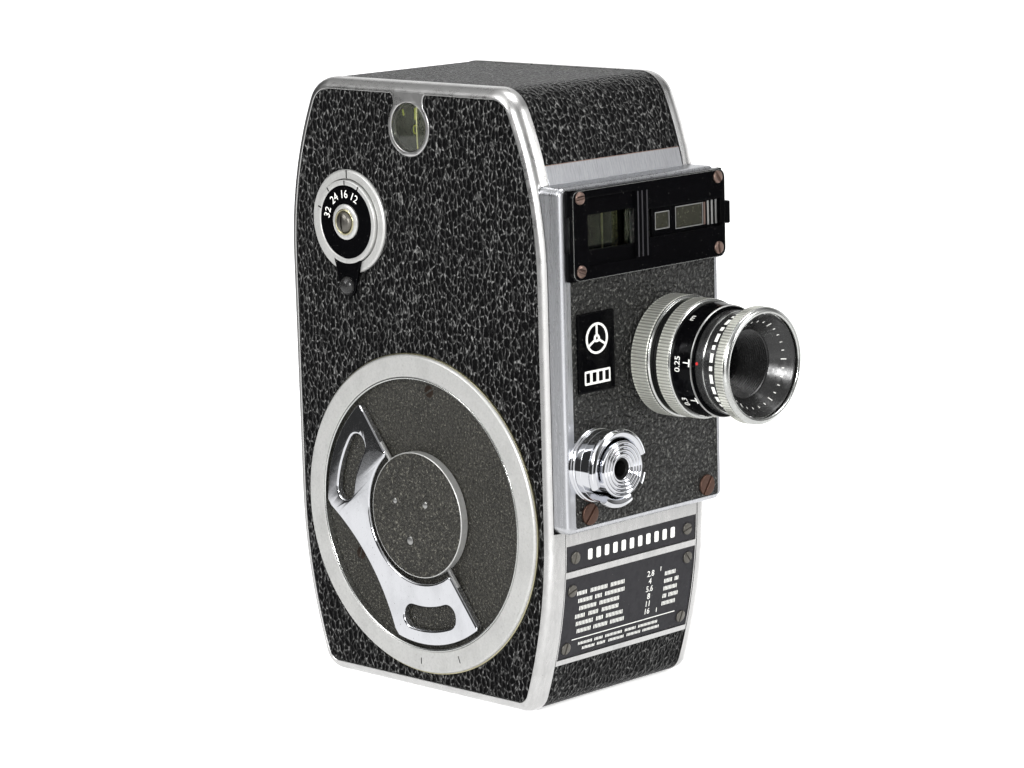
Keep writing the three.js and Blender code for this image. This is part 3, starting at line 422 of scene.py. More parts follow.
# ---------------------------------------------------------------- body outline
class Outline:
    """The side view of the body: points (y, z) with their outward normals, all the way round."""

    def __init__(self):
        high_y, low_y = HALF_DEPTH - HIGH_FLANK_R, HALF_DEPTH - LOW_FLANK_R
        top_z = HEIGHT - TOP_CORNER
        rise, fall = top_z - HIGH_FLANK_Z, LOW_FLANK_Z - BASE_CORNER
        top_y = high_y + math.sqrt((HIGH_FLANK_R - TOP_CORNER) ** 2 - rise**2)
        base_y = low_y + math.sqrt((LOW_FLANK_R - BASE_CORNER) ** 2 - fall**2)
        top_angle = math.degrees(math.atan2(rise, top_y - high_y))
        base_angle = math.degrees(math.atan2(-fall, base_y - low_y))
        stretches = [
            (base_y, BASE_CORNER, BASE_CORNER, -90, base_angle, 10),
            (low_y, LOW_FLANK_Z, LOW_FLANK_R, base_angle, 0, 14),
            (high_y, HIGH_FLANK_Z, HIGH_FLANK_R, 0, top_angle, 14),
            (top_y, top_z, TOP_CORNER, top_angle, 90, 12),
        ]
        half = []
        for y, z, radius, start, end, steps in stretches:
            points = arc(y, z, radius, start, end, steps)
            normals = arc(0, 0, 1, start, end, steps)
            joined = half and np.allclose(half[-1][0], points[0])
            half += list(zip(points, normals))[1 if joined else 0 :]
        flipped = [((-p[0], p[1]), (-n[0], n[1])) for p, n in reversed(half)]
        self.nodes = half + flipped
        self.high_y, self.low_y = high_y, low_y

    def loop(self, inset):
        """Closed (y, z) drawing at an inset."""
        return [(p[0] - n[0] * inset, p[1] - n[1] * inset) for p, n in self.nodes]

    def front(self, z):
        """Point and normal on the lens side at height z, on a flank or the flat between them."""
        y, normal = HALF_DEPTH, (1.0, 0.0)
        for centre, level, radius in (
            (self.low_y, min(z - LOW_FLANK_Z, 0), LOW_FLANK_R),
            (self.high_y, max(z - HIGH_FLANK_Z, 0), HIGH_FLANK_R),
        ):
            if level:
                y = centre + math.sqrt(radius**2 - level**2)
                normal = ((y - centre) / radius, level / radius)
        return (-y, z), (-normal[0], normal[1])

    def front_nodes(self, low, high, steps):
        return [self.front(z) for z in np.linspace(high, low, steps + 1)]

    def round_the_back(self, low, high):
        """Nodes from the lens side below low, over the base, back and top, to the lens side above high."""
        on_lens_side = [n for n in self.nodes if n[0][0] < 0]
        below = [n for n in on_lens_side if n[0][1] < low]
        above = [n for n in on_lens_side if n[0][1] > high]
        behind = [n for n in self.nodes if n[0][0] > 0]
        return [self.front(low)] + below + behind + above + [self.front(high)]


OUTLINE = Outline()


def swept(nodes, section, closed=False):
    """A closed section of (x, inset) carried along outline nodes."""
    points, faces = [], []
    count = len(section)
    for point, normal in nodes:
        for x, inset in section:
            points.append((x, point[0] - normal[0] * inset, point[1] - normal[1] * inset))
    rings = len(nodes)
    for r in range(rings if closed else rings - 1):
        a, b = r * count, ((r + 1) % rings) * count
        for i in range(count):
            j = (i + 1) % count
            faces.append([a + i, a + j, b + j, b + i])
    if not closed:
        faces.append(list(reversed(range(count))))
        faces.append(list(range((rings - 1) * count, rings * count)))
    corners = np.array(section)
    after = np.roll(corners, -1, 0)
    if (corners[:, 0] * after[:, 1] - after[:, 0] * corners[:, 1]).sum() > 0:
        faces = [face[::-1] for face in faces]
    return points, faces


# ---------------------------------------------------------------- materials
class Nodes:
    """Builds nodes in a tree: lower-case settings are attributes, the others are sockets."""

    def __init__(self, tree):
        self.tree = tree

    def node(self, kind, **settings):
        made = self.tree.nodes.new(kind)
        for key, value in settings.items():
            if key.islower():
                setattr(made, key, value)
            else:
                made.inputs[key.replace("_", " ")].default_value = value
        return made

    def link(self, source, target):
        self.tree.links.new(source, target)
        return self

    def ramp(self, value, low, high, start, end, **settings):
        made = self.node("ShaderNodeMapRange", From_Min=low, From_Max=high, To_Min=start, To_Max=end,
                         **settings)
        self.link(value, made.inputs["Value"])
        return made.outputs["Result"]

    def math(self, operation, *values):
        made = self.node("ShaderNodeMath", operation=operation)
        for socket, value in zip(made.inputs, values):
            if isinstance(value, (int, float)):
                socket.default_value = value
            else:
                self.link(value, socket)
        return made.outputs[0]


class Paint(Nodes):
    """A node material built around one Principled shader."""

    def __init__(self, name, color, rough, metallic=0.0, **sockets):
        self.material = bpy.data.materials.new(name)
        self.material.use_nodes = True
        super().__init__(self.material.node_tree)
        self.shader = self.tree.nodes["Principled BSDF"]
        self.material.diffuse_color = (*color, 1)
        for socket, value in dict(sockets, Base_Color=(*color, 1), Roughness=rough,
                                  Metallic=metallic).items():
            self.shader.inputs[socket.replace("_", " ")].default_value = value
        self.place = self.node("ShaderNodeTexCoord").outputs["Object"]
        self.color = color
        self.normal = None

    def stretched(self, sizes):
        """Object coordinates divided by feature sizes in millimetres along x, y and z."""
        mapping = self.node("ShaderNodeMapping", Scale=[1 / (s * MM) for s in sizes])
        self.link(self.place, mapping.inputs["Vector"])
        return mapping.outputs["Vector"]

    def noise(self, sizes, detail=3.0, roughness=0.6):
        made = self.node("ShaderNodeTexNoise", Scale=1.0, Detail=detail, Roughness=roughness)
        self.link(self.stretched(sizes), made.inputs["Vector"])
        return made.outputs["Fac"]

    def cracks(self, sizes, jitter, amount):
        """Distance to the edge of cells of these sizes, shifted by noise of a size and an amount."""
        noise = self.node("ShaderNodeTexNoise", Scale=1.0, Detail=2.0)
        self.link(self.stretched((jitter,) * 3), noise.inputs["Vector"])
        shift = self.node("ShaderNodeVectorMath", operation="MULTIPLY_ADD")
        shift.inputs[1].default_value = (amount,) * 3
        self.link(noise.outputs["Color"], shift.inputs[0])
        self.link(self.stretched(sizes), shift.inputs[2])
        made = self.node("ShaderNodeTexVoronoi", feature="DISTANCE_TO_EDGE", Scale=1.0)
        self.link(shift.outputs[0], made.inputs["Vector"])
        return made.outputs["Distance"]

    def sum(self, a, b, weight):
        return self.math("MULTIPLY_ADD", b, weight, a)

    def times(self, a, b):
        return self.math("MULTIPLY", a, b)

    def ribs(self, x, z, count):
        """Waves round an axis along y, so many to the turn."""
        parts = self.node("ShaderNodeSeparateXYZ")
        self.link(self.place, parts.inputs[0])
        across = self.math("SUBTRACT", parts.outputs[0], x * MM)
        up = self.math("SUBTRACT", parts.outputs[2], z * MM)
        angle = self.math("ARCTAN2", up, across)
        return self.math("SINE", self.math("MULTIPLY", angle, count))

    def tint(self, value, other):
        """Mixes the colour so far with another where value is high."""
        made = self.node("ShaderNodeMix", data_type="RGBA")
        factor, first, second = made.inputs["Factor"], made.inputs[6], made.inputs[7]
        self.link(value, factor)
        base = self.shader.inputs["Base Color"]
        if base.is_linked:
            self.link(base.links[0].from_socket, first)
        else:
            first.default_value = (*self.color, 1)
        second.default_value = (*other, 1)
        return self.link(made.outputs[2], base)

    def rough(self, value):
        return self.link(value, self.shader.inputs["Roughness"])

    def bump(self, value, depth):
        """Relief of a depth in millimetres, added to any relief before it."""
        made = self.node("ShaderNodeBump", Strength=1.0, Distance=depth * MM)
        self.link(value, made.inputs["Height"])
        if self.normal:
            self.link(self.normal, made.inputs["Normal"])
        self.normal = made.outputs["Normal"]
        return self.link(self.normal, self.shader.inputs["Normal"])


def make_leather():
    """Black leathercloth: dark pebbles with painted highlights in short upright strokes on their ridges."""
    paint = Paint("leatherette", (0.0008, 0.0008, 0.001), 0.6, Specular_IOR_Level=0.06, Sheen_Weight=0.12,
                  Sheen_Roughness=0.3)
    edges = paint.cracks((1.12, 1.15, 1.95), 1.3, 0.55)
    ridge = paint.ramp(edges, 0.0, 0.12, 1, 0)
    strokes = paint.ramp(paint.noise((0.55, 0.55, 1.6), 2, 0.6), 0.42, 0.6, 0.12, 1)
    ridge_highlight = paint.times(ridge, strokes)
    fine = paint.noise((0.4, 0.42, 0.6), 3, 0.65)
    paint.bump(paint.sum(paint.ramp(edges, 0.0, 0.4, 0.8, 0), fine, 0.5), 0.22)
    # Painted highlight: the pebble ridges, broken into strokes, are lightened where light would catch them.
    paint.tint(ridge_highlight, (0.042, 0.042, 0.041))
    # Painted glints: the brightest of those strokes are lightened further.
    glints = paint.times(ridge_highlight, paint.ramp(paint.noise((0.45, 0.45, 0.9), 1), 0.48, 0.64, 0, 1))
    paint.tint(glints, (0.2, 0.2, 0.195))
    return paint.material


def make_metal(name, color, rough, spread, grain, dirt=(0.2, 0.19, 0.17), depth=0.01, dirt_level=0.68,
               metallic=1.0, streaked=0.3, cloud=(6, 5, 7), ribs=0):
    """Bare or plated metal: streaked gloss, a fine grain, and a few dull specks; ribs paint shade in bands
    round the lens.
    """
    paint = Paint(name, color, rough, metallic)
    streaks = paint.noise(grain, 4, 0.7)
    clouds = paint.noise(cloud, 3)
    gloss = paint.sum(streaks, clouds, 0.6)
    paint.rough(paint.ramp(gloss, 0.5, 1.1, rough - spread, rough + spread))
    paint.bump(streaks, depth)
    specks = paint.noise((0.5, 0.5, 0.5), 2)
    paint.tint(paint.ramp(specks, dirt_level, dirt_level + 0.1, 0, 0.55), dirt)
    paint.tint(paint.ramp(clouds, 0.45, 0.75, 0, 0.45), tuple(c * 0.7 for c in color))
    paint.tint(paint.ramp(streaks, 0.42, 0.7, 0, streaked), tuple(c * 0.6 for c in color))
    # Painted shade: dark bands round the lens axis stand in for shade in the knurl's grooves.
    if ribs:
        paint.tint(paint.ramp(paint.ribs(LENS_X, LENS_Z, ribs), 0.0, 0.6, 0, 0.8),
                   tuple(c * 0.3 for c in color))
    return paint.material


def make_crackle(name, color, glint, size, depth, glints=0.6):
    """Wrinkle enamel: small sharp grains, painted shade in the hollows, a few grains painted bright as
    highlights.
    """
    paint = Paint(name, color, 0.42, Specular_IOR_Level=0.3)
    wrinkles = paint.cracks((size,) * 3, size * 1.4, 0.9)
    grit = paint.noise((size * 0.5,) * 3, 3, 0.7)
    relief = paint.sum(paint.ramp(wrinkles, 0.0, 0.3, 0, 1), grit, 1.4)
    paint.bump(relief, depth)
    paint.rough(paint.ramp(relief, 0.6, 1.6, 0.6, 0.3))
    # Painted shade: the low parts of the wrinkles are darkened.
    paint.tint(paint.ramp(relief, 1.0, 0.6, 0, 0.9), tuple(c * 0.15 for c in color))
    paint.tint(paint.ramp(paint.noise((7, 9, 8), 3), 0.45, 0.75, 0, 0.6), tuple(c * 0.45 for c in color))
    # Painted highlight: a few small grains are lightened to the glint colour.
    pale = paint.ramp(paint.noise((size * 0.5,) * 3, 2, 0.7), glints, glints + 0.12, 0, 0.9)
    paint.tint(pale, glint)
    return paint.material


def make_enamel(name, color, rough, dust=(0.25, 0.24, 0.22), speck=0.72, specular=0.25):
    """Smooth enamel with faint waviness, dust and small chips."""
    paint = Paint(name, color, rough, Specular_IOR_Level=specular)
    waves = paint.noise((3.5, 3, 4), 2)
    paint.bump(waves, 0.03)
    paint.rough(paint.ramp(paint.noise((1.4, 1.1, 1.8), 5, 0.7), 0.35, 0.75, rough * 0.7, rough * 1.7))
    paint.tint(paint.ramp(paint.noise((0.35,) * 3, 2), speck, speck + 0.08, 0, 0.7), dust)
    return paint.material


def make_glass(name, color, rough=0.02, specular=0.3):
    """Coated optical glass with a little haze."""
    paint = Paint(name, color, rough, Transmission_Weight=1.0, IOR=1.45, Specular_IOR_Level=specular)
    haze = paint.noise((2.5, 2, 3), 4)
    paint.rough(paint.ramp(haze, 0.4, 0.75, rough, rough + 0.05))
    return paint.material


LEATHER = make_leather()
RIM = make_metal("rim_aluminium", (0.78, 0.775, 0.765), 0.3, 0.1, (0.5, 2.4, 2.4))
BLOCK_METAL = make_metal("block_aluminium", (0.74, 0.75, 0.78), 0.3, 0.14, (0.35, 0.35, 9), depth=0.03,
                         streaked=0.6, cloud=(1.5, 1.3, 40))
STRIP_METAL = make_metal("brushed_strip", (0.36, 0.365, 0.38), 0.4, 0.1, (0.2, 3, 3), streaked=0.6)
SATIN = make_metal("satin_aluminium", (0.6, 0.6, 0.585), 0.42, 0.08, (0.5, 0.5, 0.5), metallic=0.7)
CASTING = make_metal("cast_aluminium", (0.56, 0.57, 0.58), 0.55, 0.1, (0.3, 0.3, 0.3), depth=0.04)
CHROME = make_metal("chrome_plate", (0.80, 0.81, 0.84), 0.05, 0.03, (1.2, 1.2, 1.2), depth=0.002, streaked=0)
NICKEL = make_metal("nickel_plate", (0.5, 0.505, 0.46), 0.42, 0.08, (0.3, 0.3, 0.3), metallic=0.35,
                    ribs=LENS_RIBS)
LIP = make_metal("polished_nickel", (0.72, 0.73, 0.71), 0.2, 0.05, (0.4, 0.4, 0.4), depth=0.004)
STEEL = make_metal("turned_steel", (0.5, 0.5, 0.49), 0.36, 0.1, (0.2, 3, 3))
BRASS = make_metal("machined_brass", (0.74, 0.58, 0.28), 0.32, 0.1, (0.2, 0.9, 0.9))
PALE_BRASS = make_metal("pale_brass", (0.62, 0.58, 0.38), 0.3, 0.08, (0.3, 0.3, 0.3))
COPPER = make_metal("worn_copper", (0.27, 0.19, 0.16), 0.38, 0.14, (0.3, 0.3, 0.3), (0.07, 0.04, 0.03))
RUST = make_metal("rusted_steel", (0.15, 0.09, 0.07), 0.5, 0.14, (0.3, 0.3, 0.3), (0.05, 0.03, 0.02))
DULL = make_metal("dull_steel", (0.2, 0.19, 0.17), 0.4, 0.14, (0.3, 0.3, 0.3), (0.06, 0.055, 0.045))
DARK_SCREW = make_metal("blackened_screw", (0.055, 0.04, 0.032), 0.5, 0.14, (0.3, 0.3, 0.3),
                        (0.02, 0.015, 0.01))
PANE = make_enamel("clouded_pane", (0.018, 0.018, 0.012), 0.35, (0.14, 0.14, 0.1), 0.62, specular=0.12)
FASCIA_PAINT = make_crackle("fascia_wrinkle", (0.013, 0.013, 0.012), (0.12, 0.12, 0.11), 1.3, 0.3, 0.56)
WELL_PAINT = make_crackle("well_wrinkle", (0.024, 0.023, 0.019), (0.14, 0.135, 0.11), 0.9, 0.14, 0.58)
GLOSS = make_enamel("gloss_black", (0.0015, 0.0015, 0.0018), 0.1, specular=0.07)
SATIN_BLACK = make_enamel("satin_black", (0.022, 0.0215, 0.024), 0.45, specular=0.12)
MATT_BLACK = make_enamel("matt_black", (0.004, 0.004, 0.004), 0.5, (0.03, 0.03, 0.03), specular=0.12)
CELL_BLACK = make_enamel("cell_black", (0.012, 0.012, 0.012), 0.24, (0.05, 0.05, 0.05), specular=0.6)
PRINT = make_enamel("white_print", (0.68, 0.68, 0.65), 0.5, (0.3, 0.3, 0.28), 0.6)
RED = make_enamel("red_print", (0.45, 0.02, 0.02), 0.4)
GREEN_CARD = make_enamel("counter_card", (0.30, 0.33, 0.02), 0.5, (0.2, 0.2, 0.05), 0.6)
GLASS = make_glass("window_glass", (0.3, 0.32, 0.24), specular=0.1)
COUNTER_GLASS = make_glass("counter_glass", (0.75, 0.78, 0.64), specular=0.03)
LENS_GLASS = make_glass("lens_glass", (0.5, 0.55, 0.6))


def repaint(material, *nodes):
    """Gives CAD nodes that stay in view a procedural material."""
    for node in nodes:
        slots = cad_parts[node].data.materials
        slots.clear()
        slots.append(material)


repaint(CASTING, "main_casting")
repaint(BRASS, "mechanism_bridge", "spring_barrel", "intermediate_gear", "governor_arbor")
repaint(STEEL, "mainspring", "winding_arbor", "ratchet_pawl", "shutter_shaft", "key_pin", "film_gate",
        "pressure_plate", "pulldown_claw", "takeup_spindle", "release_spring", "lens_mount_ring")
repaint(MATT_BLACK, "shutter_disc", "finder_tube", "iris_diaphragm")
repaint(LENS_GLASS, "rear_element", "finder_eye_lens")


# ---------------------------------------------------------------- side shells and leather
def rim_section(side):
    """Section of a side shell's rim as (x, inset): seam, rounding, recess edge, inner wall."""
    section = [(SEAM_X, 2.2), (SEAM_X, 0.0)]
    for t in np.radians(np.linspace(90, 0, 11)):
        section.append((HALF_WIDTH - RIM_DEPTH * (1 - math.cos(t)), RIM_INSET * (1 - math.sin(t))))
    section += [(HALF_WIDTH - 0.08, RIM_INSET + 0.1), (HALF_WIDTH - 0.6, RIM_INSET + 0.12)]
    section += [(HALF_WIDTH - 2.0, RIM_INSET + 0.12)]
    return [(side * x, inset) for x, inset in section]


def flat_outline(side, inset):
    """Outline drawing in the plane of a side face."""
    return [(side * y, z) for y, z in OUTLINE.loop(inset)]


def keyhole(grow):
    """Bezel round the counter window, joined to the top rim by a neck with fillets."""
    centre_u = -COUNTER_Y
    bezel = COUNTER.half[1] + 1.1 + grow
    neck = 4.25 + grow
    fillet = 1.5
    top = HEIGHT - RIM_INSET + 0.3
    shoulder = top - fillet - grow - 0.25
    lean = math.degrees(math.acos(neck / bezel))
    right = [(centre_u + neck + fillet, top)] + arc(centre_u + neck + fillet, shoulder, fillet, 90, 180, 6)
    left = [(2 * centre_u - x, y) for x, y in right]
    return left + arc(centre_u, COUNTER_Z, bezel, 180 - lean, 360 + lean, 44) + right[::-1]


def block_seat():
    gap = 0.1
    low = (BLOCK.low[0] - gap, -60, BLOCK.low[2] - gap)
    high = (BLOCK.high[0] + 3, -34.6, STRIP_TOP - STRIP_HEIGHT + gap)
    return Form(box(low, high))


def add_side_shells():
    seat = block_seat()
    cover = Form(swept(OUTLINE.nodes, rim_section(-1), closed=True))
    glass_hole = circle(-COUNTER_Y, COUNTER_Z, COUNTER.half[1] + 0.15)
    floor_low, floor_high = HALF_WIDTH - 2, HALF_WIDTH - 0.62
    hub_hole = circle(-WELL_Y, WELL_Z, 9)
    floor = [flat_outline(-1, RIM_INSET + 0.05), glass_hole, hub_hole]
    cover.add(slab(floor, floor_low, floor_high), LEFT)
    cover.add(slab([keyhole(0), glass_hole], floor_low, HALF_WIDTH, [0.18, 0.12]), LEFT)
    piece("motor_shell", cover, RIM, ["motor_cover"], cuts=[seat])
    door = Form(swept(OUTLINE.nodes, rim_section(1), closed=True))
    bolt_hole = circle(LATCH_Y, LATCH_Z, 3.3)
    piece("door_shell", door, RIM, ["film_door"], body="door", cuts=[seat])
    wall = slab([flat_outline(1, RIM_INSET + 0.05), bolt_hole], floor_low, floor_high)
    piece("door_wall", Form(wall, RIGHT), CASTING, body="door", cuts=[seat])


def add_leather():
    low, high = SHEET.low[0], SHEET.high[0]
    ring_hole = circle(-WELL_Y, WELL_Z, RING.half[1] + 0.2, 120)
    dial_hole = circle(-DIAL_Y, DIAL_Z, 5)
    edge = RIM_INSET + 0.2
    loops = [flat_outline(-1, edge), ring_hole, dial_hole]
    sheet = Form(slab(loops, low, high, [0.3, 0.25, 0.1]), LEFT)
    land = Form(slab([keyhole(0.12)], low - 1, high + 1), LEFT)
    piece("motor_leather", sheet, LEATHER, ["motor_cover_leather"], cuts=[land])
    latch_hole = circle(LATCH_Y, LATCH_Z, LATCH.half[1] + 0.4, 80)
    sheet = Form(slab([flat_outline(1, edge), latch_hole], low, high, [0.3, 0.25]), RIGHT)
    piece("door_leather", sheet, LEATHER, ["film_door_leather"], body="door")
    half = SEAM_X - 0.25
    section = [(-half, 0.74), (-half, 0.35), (-half + 0.08, 0.2), (-half + 0.25, 0.13)]
    section += [(-x, inset) for x, inset in reversed(section)]
    nodes = OUTLINE.round_the_back(FRAME_LOW - 0.1, STRIP_TOP + 0.1)
    eye_r, near, far = 6.7, 30, 45
    eye_hole = turned([(0, near), (eye_r, near), (eye_r, far), (0, far)], 64)
    gap = 0.3
    plate_hole = Form(box((TRIPOD.low[0] - gap, TRIPOD.low[1] - gap, -1),
                          (TRIPOD.high[0] + gap, TRIPOD.high[1] + gap, 2)))
    piece("band_leather_wrap", Form(swept(nodes, section)), LEATHER,
          ["band_leather"], cuts=[Form(eye_hole, on_back(EYE_X, EYE_Z)), plate_hole])


# ---------------------------------------------------------------- front: block, fascia, plates
def block_drawing(inset=0.0):
    return rectangle(BLOCK.low[0] + inset, BLOCK.high[0] - inset, BLOCK.low[2] + inset,
                     STRIP_TOP - STRIP_HEIGHT - inset, 1.6 - inset)


def add_block():
    front = -BLOCK.low[1]
    opening = FASCIA.face(0.1, 0.7)
    form = Form(slab([block_drawing(), opening], 34.7, front, [1.1, 0.12], 5), FRONT)
    lens_hole = circle(LENS_X, LENS_Z, LENS_HOLE_R, 64)
    window = finder_window(1)
    floor = rectangle(BLOCK.low[0] + 1, BLOCK.high[0] - 1, BLOCK.low[2] + 1, STRIP_TOP - 5)
    form.add(slab([floor, lens_hole, window], 34.8, front - 0.57), FRONT)
    half = SEAM_X - 0.2
    section = soften([(-half, 0.75), (-half, 0.05), (half, 0.05), (half, 0.75)], 0.12)
    form.add(swept(OUTLINE.front_nodes(STRIP_TOP - 5.5, STRIP_TOP, 10), section), kind=1)
    piece("front_block", form, [BLOCK_METAL, STRIP_METAL], ["lens_block"])
    line = swept(OUTLINE.front_nodes(STRIP_TOP - 0.02, STRIP_TOP + 0.14, 1),
                 [(-half, 0.6), (-half, 0.1), (half, 0.1), (half, 0.6)])
    piece("leather_edge_line", Form(line), COPPER)


def finder_window(grow=0.0):
    """Drawing of the big window in the finder plate."""
    return rectangle(FINDER_LENS.low[0] + 0.6 - grow, FINDER_LENS.high[0] - 0.6 + grow,
                     FINDER_LENS.low[2] + 0.4 - grow, FINDER_LENS.high[2] - 0.4 + grow, 0.4)


def add_fascia():
    low, high = -FASCIA.high[1], -FASCIA.low[1]
    drawing = FASCIA.face(0, 0.6)
    holes = [circle(LENS_X, LENS_Z, LENS_HOLE_R, 64), finder_window(1), circle(RELEASE_X, RELEASE_Z, 4.3)]
    form = Form(slab([drawing, *holes], low, high, 0.08), FRONT)
    piece("wrinkle_fascia", form, FASCIA_PAINT, ["front_fascia"])
    for side in ("left", "right"):
        node = "fascia_screw_" + side
        screw = Span(node)
        radius = screw.half[0]
        head = slotted_head(radius, high - 0.1, high + 0.5, 0.2, 0.55)
        place = on_front(screw.mid[0], screw.mid[2], 48 if side == "left" else 55)
        piece(node + "_head", Form(head, place), RUST, [node])


def add_badge():
    """Black plaque with a thin bright border and a plain film reel over a strip of film."""
    low = -BADGE.high[1]
    left, right, base, top = BADGE.low[0], BADGE.high[0], BADGE.low[2], BADGE.high[2]
    plaque = Form(slab([rectangle(left, right, base, top, 0.4)], low - 0.3, low + 0.5, 0.15), FRONT)
    piece("plaque", plaque, GLOSS, ["badge_plaque"])
    middle = (left + right) / 2
    face = low + 0.48
    mark = Form()
    reel_z, reel_r = top - 5.2, 3.1
    reel = [circle(middle, reel_z, reel_r), circle(middle, reel_z, reel_r - 0.45)]
    mark.add(slab(reel, face, face + 0.2, 0.06), FRONT)
    hub = [circle(middle, reel_z, 0.8, 24), circle(middle, reel_z, 0.35, 16)]
    mark.add(slab(hub, face, face + 0.2, 0.06), FRONT)
    for spoke in range(3):
        place = on_front(middle, reel_z, 90 + 120 * spoke)
        mark.add(slab([rectangle(0.7, reel_r - 0.3, -0.22, 0.22)], face, face + 0.18, 0.05), place)
    film = [rectangle(middle - 3.6, middle + 3.6, base + 1.6, base + 4.4, 0.2)]
    for frame_number in range(4):
        x = middle - 2.7 + 1.8 * frame_number
        film.append(rectangle(x - 0.62, x + 0.62, base + 2.05, base + 3.95, 0.12))
    mark.add(slab(film, face, face + 0.2, 0.05), FRONT)
    piece("plaque_mark", mark, PRINT)


def add_front_frame():
    """Bright frame that holds the two plates under the block."""
    half = SEAM_X - 0.2
    form = Form()
    levels = [
        (NAME_PLATE.high[2] + 0.1, BLOCK.low[2] + 0.3),
        (EXPOSURE_PLATE.high[2] + 0.1, NAME_PLATE.low[2] - 0.1),
        (FRAME_LOW, EXPOSURE_PLATE.low[2] - 0.1),
    ]
    section = soften([(-half, 0.9), (-half, 0.0), (half, 0.0), (half, 0.9)], 0.1)
    for low, high in levels:
        form.add(swept(OUTLINE.front_nodes(low, high, 6), section))
    behind = [(-half, 0.9), (-half, 0.62), (half, 0.62), (half, 0.9)]
    form.add(swept(OUTLINE.front_nodes(FRAME_LOW + 0.3, BLOCK.low[2], 16), behind))
    edge = NAME_PLATE.high[0] + 0.1
    for side in (-1, 1):
        strip = soften([(side * edge, 0.9), (side * edge, 0.02), (side * half, 0.02), (side * half, 0.9)],
                       0.08)
        form.add(swept(OUTLINE.front_nodes(FRAME_LOW + 0.2, BLOCK.low[2], 16), strip))
    piece("front_frame", form, RIM)


def add_plates():
    for name, span in (("name_plate", NAME_PLATE), ("exposure_plate", EXPOSURE_PLATE)):
        half = span.high[0]
        section = soften([(-half, 0.6), (-half, PLATE_INSET), (half, PLATE_INSET), (half, 0.6)], 0.08)
        form = Form(swept(OUTLINE.front_nodes(span.low[2], span.high[2], 14), section))
        piece(name + "_face", form, SATIN_BLACK, [name])


def on_plate(shape, x, z, degrees=0):
    """A drawn shape laid on the curved front plates at (x, z), turned in their plane."""
    points, faces = shape
    laid = []
    for point in points:
        across, up, out = turn(degrees) @ Vector(point)
        (y, level), (ny, nz) = OUTLINE.front(z + up)
        depth = out - PLATE_INSET
        laid.append((x + across, y + ny * depth, level + nz * depth))
    return laid, faces


TICK_PITCH, TICK_WIDTH = 0.42, 0.2
ROW_PITCH, LOW_ROW_PITCH = 1.62, 1.2


def print_words(marks, lengths, x, z, height, gap):
    """Words as runs of fine even ticks, as small print looks from afar."""
    for length in lengths:
        for i in range(round(length / TICK_PITCH)):
            tick = bar(0, TICK_WIDTH, -height / 2, height / 2)
            marks.add(on_plate(tick, x + TICK_PITCH * i, z))
        x += length + gap


def add_plate_print():
    """Plain bars on the upper plate, and a table of even ticks and f-numbers on the lower one."""
    marks = Form()
    stud = slab([rectangle(-0.62, 0.62, -1.1, 1.1, 0.3)], 0, 0.04)
    for i in range(-5, 6):
        marks.add(on_plate(stud, 2.45 * i, NAME_PLATE.mid[2]))
    top = EXPOSURE_PLATE.high[2]
    table = (
        ("2.8", (3, 5, 4), (3.2,)),
        ("4", (4, 2, 6), (2.6, 1.2)),
        ("5.6", (5, 6), (4.2,)),
        ("8", (3, 3, 5), (1.2, 2.8)),
        ("11", (5, 2, 5), (4,)),
        ("16", (4, 4, 4), ()),
    )
    for row, (number, left_words, right_words) in enumerate(table):
        z = top - 3.6 - ROW_PITCH * row
        marks.add(on_plate(lettering(number, 1.75), 6.2, z))
        print_words(marks, left_words, -15.5 + 0.5 * (row % 3), z, 0.85, 0.9)
        print_words(marks, right_words, 10.6, z - 0.8, 0.85, 0.6)
    marks.add(on_plate(bar(-0.09, 0.09, -9.2, 0.6), 9.2, top - 3.2))
    marks.add(on_plate(bar(-15.6, 15, -0.09, 0.09), 0, top - 13.35))
    for row, words in enumerate(((4, 2.4, 5, 3.2, 6), (3.6, 2.6, 4.6, 4, 5))):
        print_words(marks, words, -13.5 + 1.4 * row, top - 14.55 - LOW_ROW_PITCH * row, 0.6, 0.8)
    piece("plate_print", marks, PRINT)


def add_plate_screws():
    middle, top, base = NAME_PLATE.mid[2], EXPOSURE_PLATE.high[2] - 2.1, EXPOSURE_PLATE.low[2] + 2.1
    spots = ((-16.6, middle, 70), (16.6, middle, 15), (-17.1, top - 0.6, 20), (-17.1, base, 80),
             (17.1, top, -50), (17.1, base, 80))
    head = slotted_head(1.25, -0.1, 0.35, 0.16, 0.32)
    screws = Form()
    for x, z, angle in spots:
        screws.add(on_plate(head, x, z, angle))
    piece("plate_screws", screws, DULL)


# ---------------------------------------------------------------- winding well, hub and key
HINGE_ANGLE = 52


def key_angle(degrees):
    """Direction on the key, from its fold direction, as an angle in the left face's plane."""
    return 180 - (HINGE_ANGLE - 90 + degrees)


